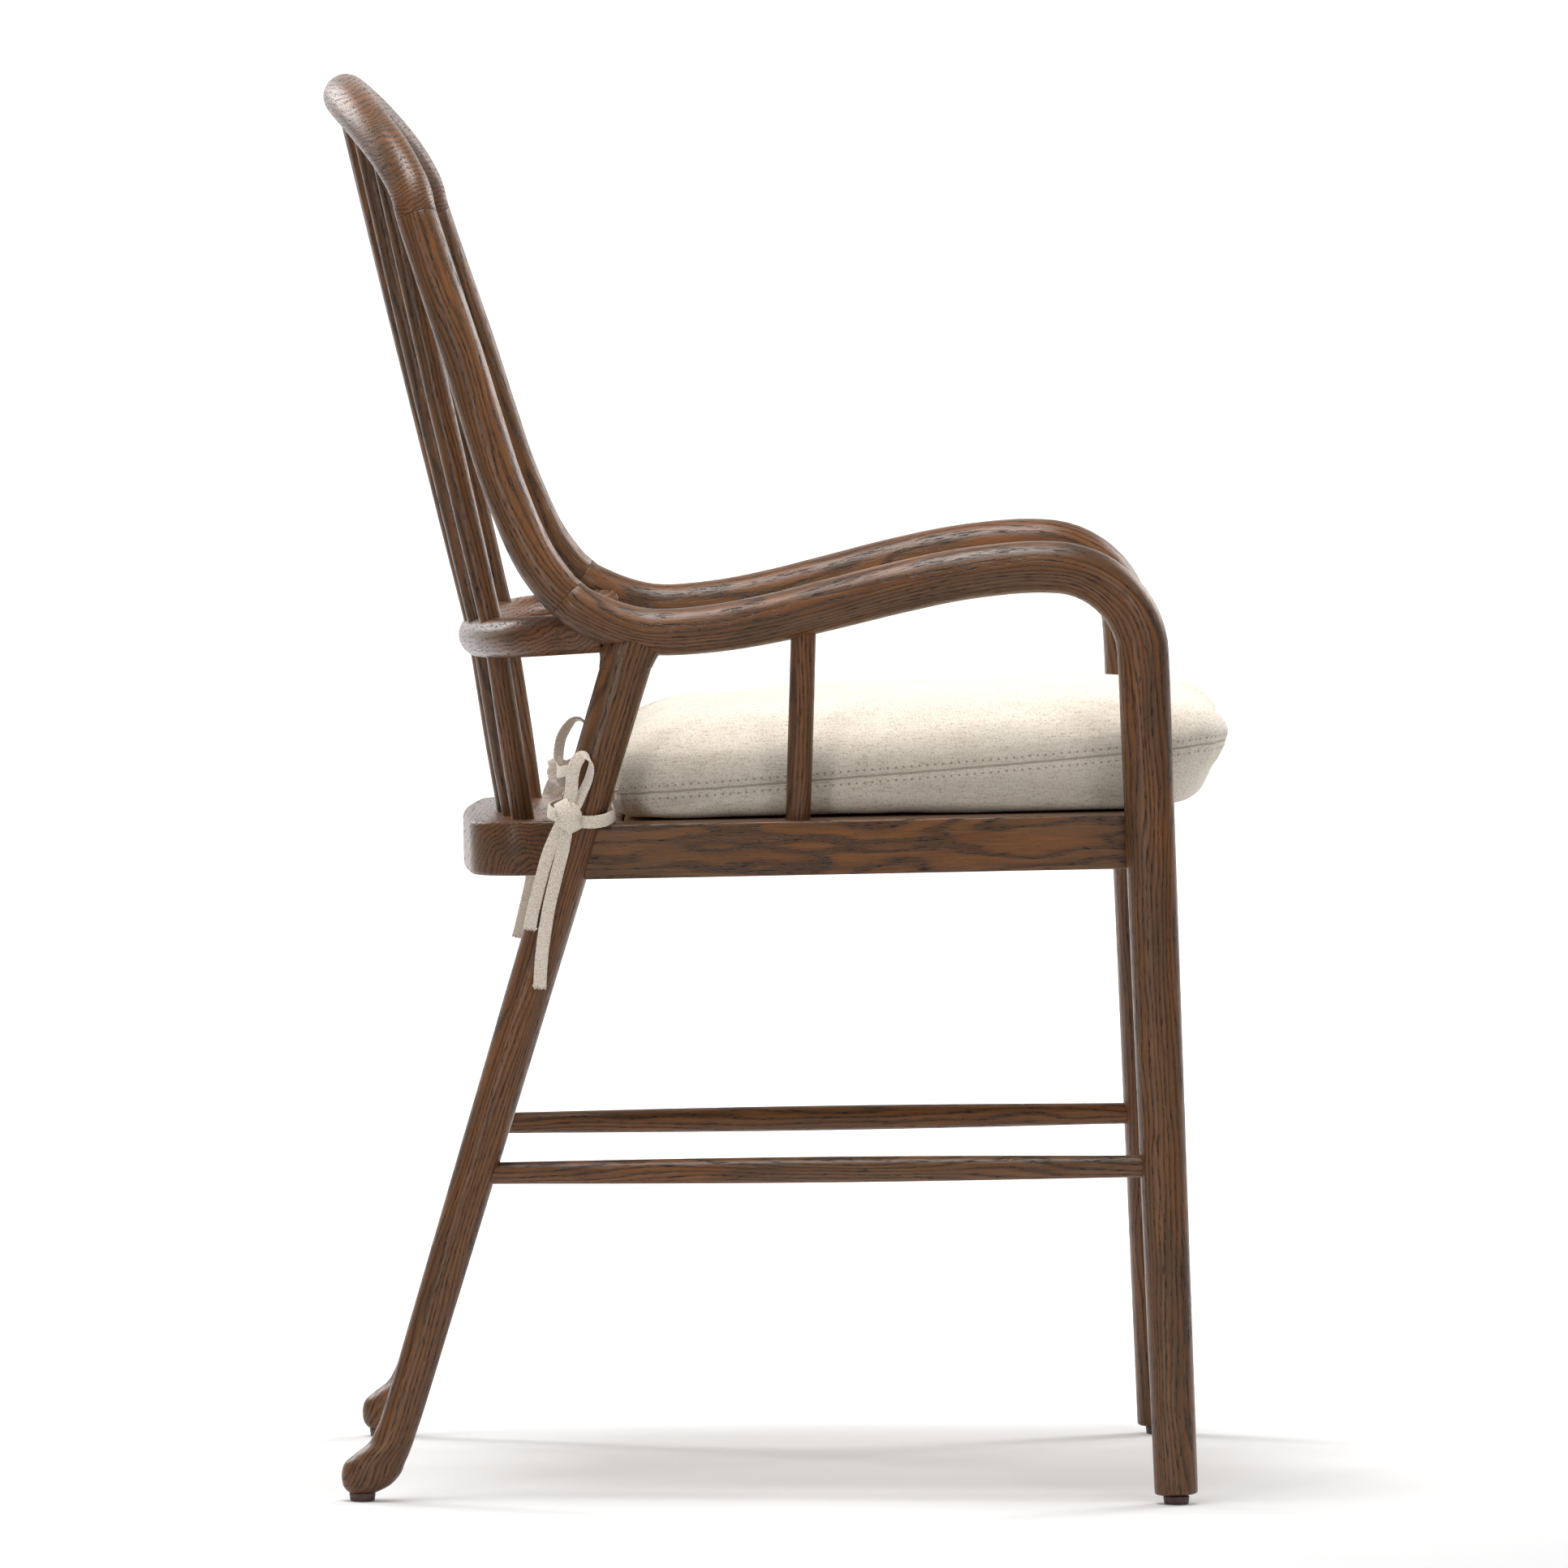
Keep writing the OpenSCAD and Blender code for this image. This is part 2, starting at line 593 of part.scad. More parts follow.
module cushion_blank(shrink) {
    on_frame() hull() for (l = cushion_levels)
        translate([0, 0, lerp(l[0], cushion_t / 2, shrink / (cushion_t / 2))])
            linear_extrude(leaf) polygon(cushion_outline(l[1] + shrink));
}
module cushion_cover() {
    color(linen) difference() {
        cushion_blank(0);
        cushion_blank(cover_t);
    }
}
module cushion_foam() {
    color(foam) cushion_blank(cover_t + 0.3);
}

// ---------- ties ----------
// points measured from the rear leg's centre near the frame's top; the right tie's are mirrored.
// Each tie has the strand round the outside of the leg, its free end, the strand round the inside,
// the bow's loop, that strand's free end, and the middle of the knot
tie_base = rear_leg_at(seat_h - 7);
right_tie = [
    [[-53, -25, 15], [-44, -22, 12], [-29, -22, 10], [-12, -23, 9], [3, -22, 7], [13, -17, 4], [18, -8, 2],
        [20, 1, 3], [20.5, 7, 6]],
    [[19.5, 13, -3], [18.5, 19.5, -18], [17.5, 25, -37], [17, 30, -57], [16.5, 32, -67.5]],
    [[-50, -23, 19], [-38, -16, 19], [-26, -6, 16], [-17, 9, 13], [-6, 19, 10], [7, 19, 8], [16, 14, 7]],
    [[20, 7.5, 12], [20.5, 4.8, 22], [21, 4, 32], [21, 1.6, 41], [20.5, -3.6, 46], [20, -8.2, 40.5],
        [19, -6.8, 31], [18.5, -3, 22], [19, 1, 14], [20, 5.5, 9]],
    [[20, 8, -3], [19, 10.5, -17], [18, 15, -35], [17.5, 20, -57], [17.5, 24, -84], [17.5, 25.5, -106]],
    [20.5, 7, 6]];
left_tie = [
    [[-53, -25, 15], [-44, -22, 12], [-29, -22, 10], [-12, -23, 9], [3, -22, 8], [13, -17, 8], [18.5, -7, 8],
        [19, 6, 9], [16, 15, 10], [14, 20, 10]],
    [[15, 26, 2], [16, 31, -14], [17, 37, -32], [17, 41, -48]],
    [[-50, -23, 19], [-38, -16, 19], [-26, -4, 17], [-16, 13, 14], [-2, 21, 12]],
    [[9, 21, 16], [13, 21, 26], [15, 18.5, 37], [16, 11, 47], [17, 4, 46], [18, 2, 37], [18, 5, 27],
        [17, 11, 18], [15, 18, 13]],
    [[15, 21, 2], [16, 27, -16], [17, 36, -42], [18, 42, -72], [18, 49, -102]],
    [14, 20, 11]];
knot_r = 6.6;

module strand(points) {
    rows = [for (p = points) concat(tie_base + p, tape_d / 2)];
    color(cotton) sweep(rows, 0, len(rows) - 1, [0.62, 0.35, 0.7], 8, 1.5);
}
module tie_outer(tie) { strand(concat(tie[0], tie[1])); }
module tie_inner(tie) { strand(concat(tie[2], tie[3], tie[4])); }
module tie_knot(tie) {
    color(cotton) translate(tie_base + tie[5]) sphere(r = knot_r, $fn = 32);
}

// ---------- glides ----------
rear_glide = let (p = rear_leg_at(5.6)) [p.x, p.y + 11, glide_h + foot_gap];
nail_d = 2.6;
nail_l = 22;
nail_head_d = 7;
nail_head_h = 2;
module nail(r, head_r) {
    translate([0, 0, 1]) cylinder(h = nail_head_h, r = head_r, $fn = 24);
    translate([0, 0, 1]) cylinder(h = nail_l, r = r, $fn = 24);
}
module nail_hole(at) {
    translate([at.x + 0.03, at.y + 0.02, 0]) rotate([0, 0, 20]) cylinder(h = nail_l + 2, r = nail_d / 2 + fit, $fn = 24);
}
module glide(at) {
    color(nylon) translate([at.x, at.y, 0]) difference() {
        cylinder(h = glide_h, d1 = glide_d - 1.6, d2 = glide_d, $fn = 48);
        nail(nail_d / 2 + 0.05, nail_head_d / 2 + 0.05);
        translate([0, 0, -1]) cylinder(h = 3, d = nail_head_d + 0.1, $fn = 24);
    }
}
module glide_nails() {
    color(steel) both_sides() for (at = [front_foot, rear_glide])
        translate([at.x, at.y, 0]) nail(nail_d / 2, nail_head_d / 2);
}

// ---------- assembly ----------
module right() { mirror([1, 0, 0]) children(); }

crest_rail();
right() back_post();  // back_post_right
back_post();  // back_post_left
color(beech) both_sides() dowel(crest_tip, crest_dir, dowel_d, dowel_l);  // crest_dowels
color(beech) both_sides() dowel(knuckle_tip, knuckle_dir, dowel_d, dowel_l);  // knuckle_dowels
right() arm_and_front_leg();  // arm_and_front_leg_right
arm_and_front_leg();  // arm_and_front_leg_left
right() rear_leg();  // rear_leg_right
rear_leg();  // rear_leg_left
lumbar_rail();
right() arm_support();  // arm_support_right
arm_support();  // arm_support_left
right() stretcher();  // stretcher_right
stretcher();  // stretcher_left
for (i = SPINDLES) long_spindle(i);
for (i = SPINDLES) short_spindle(i);
right() side_rail();  // side_rail_right
side_rail();  // side_rail_left
front_rail();
rear_rail();
rear_board();
color(beech) both_sides() board_dowels(dowel_d / 2, dowel_l);
seat_panel();
right() panel_cleat();  // panel_cleat_right
panel_cleat();  // panel_cleat_left
right() corner_block();  // corner_block_right
corner_block();  // corner_block_left
frame_screws();
cushion_cover();
cushion_foam();
right() tie_outer(right_tie);  // tie_outer_right
right() tie_inner(right_tie);  // tie_inner_right
right() tie_knot(right_tie);  // tie_knot_right
tie_outer(left_tie);  // tie_outer_left
tie_inner(left_tie);  // tie_inner_left
tie_knot(left_tie);  // tie_knot_left
right() glide(front_foot);  // glide_front_right
glide(front_foot);  // glide_front_left
right() glide(rear_glide);  // glide_rear_right
glide(rear_glide);  // glide_rear_left
glide_nails();
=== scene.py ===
import math
import random

import bmesh
import bpy
from mathutils import Matrix, Vector, noise


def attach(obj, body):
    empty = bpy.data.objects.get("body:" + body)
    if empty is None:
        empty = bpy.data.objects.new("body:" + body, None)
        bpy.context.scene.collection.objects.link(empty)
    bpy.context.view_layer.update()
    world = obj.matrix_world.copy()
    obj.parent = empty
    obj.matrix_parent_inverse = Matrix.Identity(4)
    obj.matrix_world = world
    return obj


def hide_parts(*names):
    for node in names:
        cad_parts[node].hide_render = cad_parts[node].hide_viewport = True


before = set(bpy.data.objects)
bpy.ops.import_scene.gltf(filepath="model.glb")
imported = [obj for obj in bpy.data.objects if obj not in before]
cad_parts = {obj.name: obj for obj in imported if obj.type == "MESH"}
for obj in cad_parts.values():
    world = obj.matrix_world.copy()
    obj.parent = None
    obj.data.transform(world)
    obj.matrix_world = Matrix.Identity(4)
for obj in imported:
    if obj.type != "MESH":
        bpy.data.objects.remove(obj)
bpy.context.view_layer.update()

scene = bpy.context.scene
mm = 0.001
body = "root"


# ---- camera ----
cameraSettings = {
    "place": (-10.5, -0.016, 0.9467),   # level with the top of the back, ten metres off
    "aim": (0.0, -0.003, 0.461),
    "lens": 359,                        # a long lens: almost no perspective
}


def addCamera():
    data = bpy.data.cameras.new("camera")
    data.lens = cameraSettings["lens"]
    data.sensor_width = 36
    data.clip_end = 60
    camera = bpy.data.objects.new("camera", data)
    scene.collection.objects.link(camera)
    place = Vector(cameraSettings["place"])
    camera.location = place
    camera.rotation_euler = (Vector(cameraSettings["aim"]) - place).to_track_quat("-Z", "Y").to_euler()
    scene.camera = camera


addCamera()
print("camera placed")


# ---- the chair's sizes, in millimetres as in its design ----
chair = {
    "overallHeight": 938, "frameHeight": 453, "legSpan": 486, "armRun": 336, "armRise": 162,
    "crestWidth": 362, "crestArch": 79, "crestSweep": 52, "backRake": 194,
    "crestRadius": 15, "postRadius": 13.6, "armRearRadius": 15.3, "armRadius": 17,
    "bendRadius": 60, "footRadius": 14.3, "lumbarRadius": 13.4,
    "rearLegTop": 17.2, "rearLegAnkle": 13.3, "rearLean": 0.299,
    "railHeight": 36, "frameTilt": 1.15,
}
c = chair
frontY = -c["armRun"] / 2 - 71
rearY = frontY + c["armRun"]
knuckle = Vector((c["legSpan"] / 2, rearY, c["frameHeight"] + 120))
armZ = c["frameHeight"] + c["armRise"]
crestY = rearY + c["backRake"]
crestEnd = Vector((c["crestWidth"] / 2, crestY - c["crestSweep"],
                   c["overallHeight"] - c["crestRadius"] - c["crestArch"]))
crestSteps = 5
postFoot = knuckle + Vector((-3, 41.5, 20.6))
postShape = [(0.86, 0.83), (0.70, 0.64), (0.56, 0.46), (0.43, 0.30), (0.25, 0.13), (0.09, 0.035)]
frontX = knuckle.x + 9
bendFoot = Vector((frontX, frontY, armZ - c["bendRadius"]))
frontFoot = Vector((frontX + 12, frontY - 22, 6.1))


def lerp(a, b, t):
    return a + (b - a) * t


def ease(t):
    t = max(0.0, min(1.0, t))
    return t * t * (3 - 2 * t)


def onCurve(rows, t):
    # a smooth line through the rows, every column blended alike
    last = len(rows) - 1
    i = max(0, min(int(math.floor(t)), last - 1))
    f = t - i
    p0, p1, p2, p3 = rows[max(i - 1, 0)], rows[i], rows[i + 1], rows[min(i + 2, last)]
    return [0.5 * (2 * b + (d - a) * f + (2 * a - 5 * b + 4 * d - e) * f * f
                   + (3 * b - 3 * d + e - a) * f * f * f)
            for a, b, d, e in zip(p0, p1, p2, p3)]


def pointOn(rows, t):
    return Vector(onCurve(rows, t)[:3])


def headingOn(rows, t):
    last = len(rows) - 1
    return (pointOn(rows, min(last, t + 0.02)) - pointOn(rows, max(0, t - 0.02))).normalized()


def framePoint(x, y, z):
    # a point in the sitting frame's own axes: y runs back from the front legs, z = 0 is its top
    a = math.radians(c["frameTilt"])
    return Vector((x, frontY + y * math.cos(a) + z * math.sin(a),
                   c["frameHeight"] - y * math.sin(a) + z * math.cos(a)))


def frameMatrix():
    place = Matrix.Translation((0, frontY * mm, c["frameHeight"] * mm))
    return place @ Matrix.Rotation(-math.radians(c["frameTilt"]), 4, "X")


def rearLegAt(z):
    return Vector((knuckle.x, rearY + (knuckle.z - 12 - z) * c["rearLean"], z))


# ---- ties: the cords' routes come first ----
tapeWidth = 8.6
tieBase = rearLegAt(c["frameHeight"] - 7)
rightTie = {
    "outer": [(-53, -25, 11), (-44, -22, 8), (-29, -22, 6), (-12, -23, 5), (3, -22, 5), (13, -17, 3),
              (18, -8, 2), (20, 1, 3), (20.5, 7, 6),
              (19.5, 13, -3), (18.5, 19.5, -18), (17.5, 25, -37), (17, 30, -57), (16.5, 32, -67.5)],
    "inner": [(-50, -23, 19), (-38, -16, 19), (-26, -6, 16), (-17, 9, 13), (-6, 19, 10), (7, 19, 8), (16, 14, 7),
              (20, 7.5, 12), (20.5, 4.8, 22), (21, 4, 32), (21, 1.6, 41), (20.5, -3.6, 46), (20, -8.2, 40.5),
              (19, -6.8, 31), (18.5, -3, 22), (19, 1, 14), (20, 5.5, 9),
              (20, 8, -3), (19, 10.5, -17), (18, 15, -35), (17.5, 20, -57), (17.5, 24, -84), (17.5, 25.5, -106)],
    # the way each tape's flat side faces, at every point of its route
    "outerFaces": [(0, -0.8, 0.3), (0, -1, 0.2), (0, -1, 0.1), (0.1, -1, 0.1), (0.35, -1, 0), (0.8, -0.7, 0),
                   (1, -0.15, 0), (1, 0, 0), (1, 0.1, 0),
                   (1, 0.1, 0.2), (1, -0.05, 0), (1, -0.2, 0), (1, -0.2, 0), (1, -0.05, 0)],
    "innerFaces": [(0, 0.3, 1), (-0.3, 0.3, 0.9), (-0.7, 0.4, 0.5), (-0.9, 0.6, 0.2), (-0.3, 1, 0.1),
                   (0.4, 0.95, 0.1), (0.9, 0.5, 0.1),
                   (1, 0.2, 0), (1, 0.15, 0), (1, 0.1, 0.1), (1, 0, 0.35), (0.6, -0.2, 0.8), (-0.2, -0.85, 0.4),
                   (-0.55, -0.85, 0), (-0.6, -0.8, 0), (-0.75, -0.6, 0), (-0.95, -0.2, 0),
                   (-1, 0.1, 0), (-1, 0.15, 0), (-1, 0.1, 0), (-1, 0, 0), (-1, -0.1, 0), (-1, 0, 0)],
    "knot": (20.5, 7, 6),
}
leftTie = {
    "outer": [(-53, -25, 15), (-44, -22, 12), (-29, -22, 10), (-12, -23, 9), (3, -22, 8), (13, -17, 8),
              (18.5, -7, 8), (19, 6, 9), (16, 15, 10), (14, 20, 10),
              (15, 26, 2), (16, 31, -14), (17, 37, -32), (17, 41, -48)],
    "inner": [(-50, -23, 19), (-38, -16, 19), (-26, -4, 17), (-16, 13, 14), (-2, 21, 12),
              (9, 21, 16), (13, 21, 26), (15, 18.5, 37), (16, 11, 47), (17, 4, 46), (18, 2, 37), (18, 5, 27),
              (17, 11, 18), (15, 18, 13),
              (15, 21, 2), (16, 27, -16), (17, 36, -42), (18, 42, -72), (18, 49, -102)],
    "outerFaces": [(0, -0.3, 1), (0, -0.5, 0.9), (0, -0.8, 0.6), (0.1, -1, 0.3), (0.35, -1, 0.1), (0.8, -0.7, 0),
                   (1, -0.15, 0), (1, 0.1, 0), (0.9, 0.4, 0), (0.9, 0.5, 0),
                   (1, 0.2, 0.2), (1, 0, 0), (1, -0.1, 0), (1, 0, 0)],
    "innerFaces": [(0, 0.3, 1), (-0.3, 0.3, 0.9), (-0.8, 0.4, 0.4), (-0.8, 0.7, 0.2), (-0.1, 1, 0.1),
                   (0.6, 0.8, 0), (0.8, 0.6, 0), (0.8, 0.5, 0.3), (0.5, 0.1, 0.85), (0.1, -0.6, 0.8),
                   (-0.5, -0.85, 0.1), (-0.6, -0.8, 0), (-0.6, -0.8, 0), (-0.8, -0.5, 0),
                   (-0.9, 0.1, 0), (-1, 0.1, 0), (-1, 0, 0), (-1, 0, 0), (-1, 0, 0)],
    "knot": (14, 20, 11),
}


def ringMatrix(centre, across, other, along, scaleA, scaleB):
    m = Matrix((across * scaleA, other * scaleB, along)).transposed().to_4x4()
    m.translation = centre
    return m


def loftRings(bm, rings, sides, distances, seed, layerName, profile=None):
    # one circle, carried from ring to ring; every vertex keeps its place in the unbent stick
    layer = bm.verts.layers.float_vector.new(layerName)
    first = bmesh.ops.create_circle(bm, cap_ends=False, radius=1, segments=sides)["verts"]
    if profile:
        for v in first:
            v.co = profile(v.co)
    flat = {v: v.co.copy() for v in first}
    verts = list(first)
    edges = list({e for v in verts for e in v.link_edges})
    bottom = edges
    before = Matrix.Identity(4)
    for n, (matrix, size) in enumerate(rings):
        if n:
            made = bmesh.ops.extrude_edge_only(bm, edges=edges)["geom"]
            edges = [g for g in made if isinstance(g, bmesh.types.BMEdge)]
            edges = [e for e in edges if all(v not in flat for v in e.verts)]
            older, verts = set(verts), list({v for e in edges for v in e.verts})
            for v in verts:
                flat[v] = next(flat[e.other_vert(v)] for e in v.link_edges if e.other_vert(v) in older)
        bmesh.ops.transform(bm, matrix=matrix @ before.inverted(), verts=verts)
        before = matrix
        for v in verts:
            u = flat[v]
            v[layer] = (u.x * size[0] + seed[0], u.y * size[1] + seed[1], distances[n] + seed[2])
    caps = []
    for loop in (bottom, edges):
        caps += bmesh.ops.contextual_create(bm, geom=loop)["faces"]
        for e in loop:
            e.smooth = False
    for f in bm.faces:
        f.smooth = True
    bmesh.ops.recalc_face_normals(bm, faces=bm.faces)
    return caps


def finishMesh(bm, name, material, nodes=()):
    mesh = bpy.data.meshes.new(name)
    bm.to_mesh(mesh)
    bm.free()
    piece = bpy.data.objects.new(name, mesh)
    scene.collection.objects.link(piece)
    if material:
        mesh.materials.append(material)
    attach(piece, body)
    if nodes:
        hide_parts(*nodes)
    return piece


def mirrored(points, side):
    return [(p[0] * side, p[1], p[2]) for p in points]


def tapeProfile(co):
    # a flat section with round edges
    a = abs(co.x) ** 0.35 * math.copysign(1, co.x)
    b = abs(co.y) ** 0.5 * math.copysign(1, co.y)
    return Vector((a, b, 0))


def fray(bm, end, width, walked):
    # loose threads at the cut end
    layer = bm.verts.layers.float_vector["thread"]
    for n in range(18):
        spread = lerp(-0.46, 0.46, n / 17) * width
        tilt = Matrix.Rotation(math.sin(n * 5.1) * 0.55, 4, "Y") @ Matrix.Rotation(math.cos(n * 3.7) * 0.5, 4, "X")
        place = Matrix.Translation(end.translation) @ end.to_3x3().normalized().to_4x4()
        place = place @ Matrix.Translation((spread * mm, math.sin(n * 2.3) * 0.4 * mm, 0.6 * mm)) @ tilt
        made = bmesh.ops.create_cone(bm, cap_ends=True, segments=5, radius1=0.5 * mm, radius2=0.15 * mm,
                                     depth=(2.6 + math.sin(n * 1.9)) * mm, matrix=place)["verts"]
        for v in made:
            v[layer] = (spread * mm, 0, walked * mm)


def tape(name, route, faces, side, material, nodes, frayed=True, width=tapeWidth, thick=1.5, closed=False):
    rows = []
    for p, f in zip(route, faces):
        rows.append(((tieBase.x + p[0]) * side, tieBase.y + p[1], tieBase.z + p[2], f[0] * side, f[1], f[2]))
    steps = 6
    count = (len(rows) - 1) * steps
    rings, distances, path = [], [], []
    walked = 0.0
    for n in range(count + 1):
        t = n / steps
        row = onCurve(rows, t)
        centre = Vector(row[:3])
        along = headingOn(rows, t)
        facing = Vector(row[3:])
        across = facing.cross(along).normalized()
        thin = along.cross(across)
        if path:
            walked += (centre - path[-1]).length
        path.append(centre)
        wide = width * (1 + 0.05 * noise.noise(centre * 0.07))
        rings.append((ringMatrix(centre * mm, across, thin, along, wide / 2 * mm, thick / 2 * mm),
                      (wide / 2 * mm, thick / 2 * mm)))
        distances.append(walked * mm)
    bm = bmesh.new()
    loftRings(bm, rings, 12, distances, (0, 0, side * 0.05), "thread", tapeProfile)
    fray(bm, rings[-1][0], width, walked)
    piece = finishMesh(bm, name, material, nodes)
    return piece, [p * mm for p in path]


# ---- materials ----
def linear(hexColour):
    parts = [int(hexColour[i:i + 2], 16) / 255 for i in (1, 3, 5)]
    return [p / 12.92 if p <= 0.04045 else ((p + 0.055) / 1.055) ** 2.4 for p in parts] + [1]


def add(tree, kind, settings=None, links=None):
    # one node, with its settings, and its inputs linked or set
    node = tree.nodes.new(kind)
    for key, value in (settings or {}).items():
        setattr(node, key, value)
    for key, value in (links or {}).items():
        if isinstance(value, bpy.types.NodeSocket):
            tree.links.new(value, node.inputs[key])
        else:
            node.inputs[key].default_value = value
    return node


def ramp(tree, source, stops):
    node = add(tree, "ShaderNodeValToRGB", links={"Fac": source})
    for n, (place, colour) in enumerate(stops):
        if n < 2:
            stop = node.color_ramp.elements[n]
            stop.position = place
        else:
            stop = node.color_ramp.elements.new(place)
        stop.color = linear(colour) if isinstance(colour, str) else (colour, colour, colour, 1)
    return node.outputs["Color"]


def mixed(tree, factor, first, second, mode="MIX"):
    node = add(tree, "ShaderNodeMix", {"data_type": "RGBA", "blend_type": mode})
    for key, value in ((0, factor), (6, first), (7, second)):
        if isinstance(value, bpy.types.NodeSocket):
            tree.links.new(value, node.inputs[key])
        else:
            node.inputs[key].default_value = value
    return node.outputs[2]


def maths(tree, operation, *values):
    node = add(tree, "ShaderNodeMath", {"operation": operation})
    for n, value in enumerate(values):
        if isinstance(value, bpy.types.NodeSocket):
            tree.links.new(value, node.inputs[n])
        else:
            node.inputs[n].default_value = value
    return node.outputs[0]


def newMaterial(name):
    material = bpy.data.materials.new(name)
    material.use_nodes = True
    tree = material.node_tree
    tree.nodes.clear()
    shader = add(tree, "ShaderNodeBsdfPrincipled")
    output = add(tree, "ShaderNodeOutputMaterial")
    tree.links.new(shader.outputs["BSDF"], output.inputs["Surface"])
    return material, tree, shader


def setShader(shader, **values):
    for key, value in values.items():
        shader.inputs[key].default_value = value


woodSettings = {
    "ring": 3.1,            # mm between growth rings
    "late": "#6A482A", "early": "#3A2717", "pore": "#17100C", "warm": "#774924", "dark": "#422E1C",
    # light is a pale sheen colour: mixed into the stain, it paints a sheen on
    "light": "#8E745C",
}


def stainedAsh(name, paintedSheen=0.0):
    # ash with a dark brown stain and satin lacquer: open pores show as short dark dashes along the grain,
    # the rings as soft bands, and the lacquer gives broad pale sheens
    w = woodSettings
    material, tree, shader = newMaterial(name)
    grain = add(tree, "ShaderNodeAttribute", {"attribute_name": "grain"}).outputs["Vector"]
    inMm = add(tree, "ShaderNodeVectorMath", {"operation": "SCALE"}, {0: grain, "Scale": 1000.0}).outputs[0]

    def pattern(across, along, detail=2.0, roughness=0.5, shift=0.0):
        # noise of this size in mm, across the grain and along it
        stretched = add(tree, "ShaderNodeMapping", links={
            "Vector": inMm, "Location": (shift, shift, shift), "Scale": (1 / across, 1 / across, 1 / along)})
        return add(tree, "ShaderNodeTexNoise", links={"Vector": stretched.outputs[0], "Scale": 1.0,
                                                      "Detail": detail, "Roughness": roughness}).outputs["Fac"]

    parts = add(tree, "ShaderNodeSeparateXYZ", links={"Vector": inMm})
    fromPith = add(tree, "ShaderNodeCombineXYZ", links={"X": maths(tree, "ADD", parts.outputs[0], 60.0),
                                                        "Y": maths(tree, "ADD", parts.outputs[1], 6.0)}).outputs[0]
    radius = add(tree, "ShaderNodeVectorMath", {"operation": "LENGTH"}, {0: fromPith}).outputs["Value"]
    sway = maths(tree, "MULTIPLY", pattern(34, 190), 26.0)
    ripple = maths(tree, "MULTIPLY", pattern(7, 45, 3.0, shift=4.0), 2.6)
    swayed = maths(tree, "ADD", maths(tree, "ADD", radius, sway), ripple)
    phase = maths(tree, "FRACT", maths(tree, "DIVIDE", swayed, w["ring"]))
    early = ramp(tree, phase, [(0.0, 0.9), (1.0, 0.85), (0.2, 1.0), (0.42, 0.25), (0.8, 0.0), (0.94, 0.35)])
    blotch = ramp(tree, pattern(24, 150, 3.0, shift=9.0), [(0.36, 0.0), (0.64, 1.0)])
    patch = ramp(tree, pattern(13, 70, 2.0, shift=17.0), [(0.45, 0.0), (0.7, 1.0)])
    base = mixed(tree, blotch, linear(w["late"]), linear(w["warm"]))
    base = mixed(tree, maths(tree, "MULTIPLY", patch, 0.6), base, linear(w["dark"]))
    base = mixed(tree, maths(tree, "MULTIPLY", early, 0.72), base, linear(w["early"]))
    streaks = ramp(tree, pattern(1.0, 34, 5.0, 0.7), [(0.3, 0.55), (0.7, 1.3)])
    base = mixed(tree, 0.8, base, streaks, "MULTIPLY")
    pores = ramp(tree, pattern(1.05, 9.0, 2.0, 0.6, shift=2.0), [(0.54, 0.0), (0.62, 1.0)])
    fewPores = ramp(tree, pattern(1.0, 12.0, 2.0, 0.6, shift=31.0), [(0.64, 0.0), (0.7, 0.8)])
    poreAmount = maths(tree, "MAXIMUM", maths(tree, "MULTIPLY", pores, early), fewPores)
    base = mixed(tree, maths(tree, "MULTIPLY", poreAmount, 0.9), base, linear(w["pore"]))
    # a paler copy: the pale sheen colour is mixed in evenly, as painted sheen
    if paintedSheen:
        base = mixed(tree, paintedSheen, base, linear(w["light"]))
    tree.links.new(base, shader.inputs["Base Color"])
    rough = maths(tree, "ADD", 0.34, maths(tree, "MULTIPLY", poreAmount, 0.4))
    tree.links.new(rough, shader.inputs["Roughness"])
    depth = maths(tree, "SUBTRACT", maths(tree, "MULTIPLY", streaks, 0.25), poreAmount)
    bump = add(tree, "ShaderNodeBump", links={"Height": depth, "Strength": 0.7, "Distance": 0.45 * mm})
    tree.links.new(bump.outputs["Normal"], shader.inputs["Normal"])
    setShader(shader, **{"IOR": 1.5, "Specular IOR Level": 0.32, "Coat Weight": 0.08, "Coat Roughness": 0.22})
    return material


def rawWood(name, light, dark, along, size):
    # sanded, unfinished wood on the hidden pieces: matt, with faint lines along the grain
    material, tree, shader = newMaterial(name)
    place = add(tree, "ShaderNodeTexCoord").outputs["Object"]
    scale = [1000 / size] * 3
    scale["XYZ".index(along)] = 1000 / (size * 40)
    lines = add(tree, "ShaderNodeTexNoise", links={
        "Vector": add(tree, "ShaderNodeMapping", links={"Vector": place, "Scale": tuple(scale)}).outputs[0],
        "Scale": 1.0, "Detail": 5.0}).outputs["Fac"]
    colour = ramp(tree, lines, [(0.3, dark), (0.7, light)])
    tree.links.new(colour, shader.inputs["Base Color"])
    bump = add(tree, "ShaderNodeBump", links={"Height": lines, "Strength": 0.3, "Distance": 0.2 * mm})
    tree.links.new(bump.outputs["Normal"], shader.inputs["Normal"])
    setShader(shader, **{"Roughness": 0.7, "IOR": 1.5})
    return material


linenSettings = {
    "light": "#E2DACD", "mid": "#CEC3B3", "dark": "#9C8E7C",
    "thread": 1.1,          # mm; about twice as coarse as the real weave, so that it shows
    "stitch": 5.2,          # mm from one stitch hole to the next
}


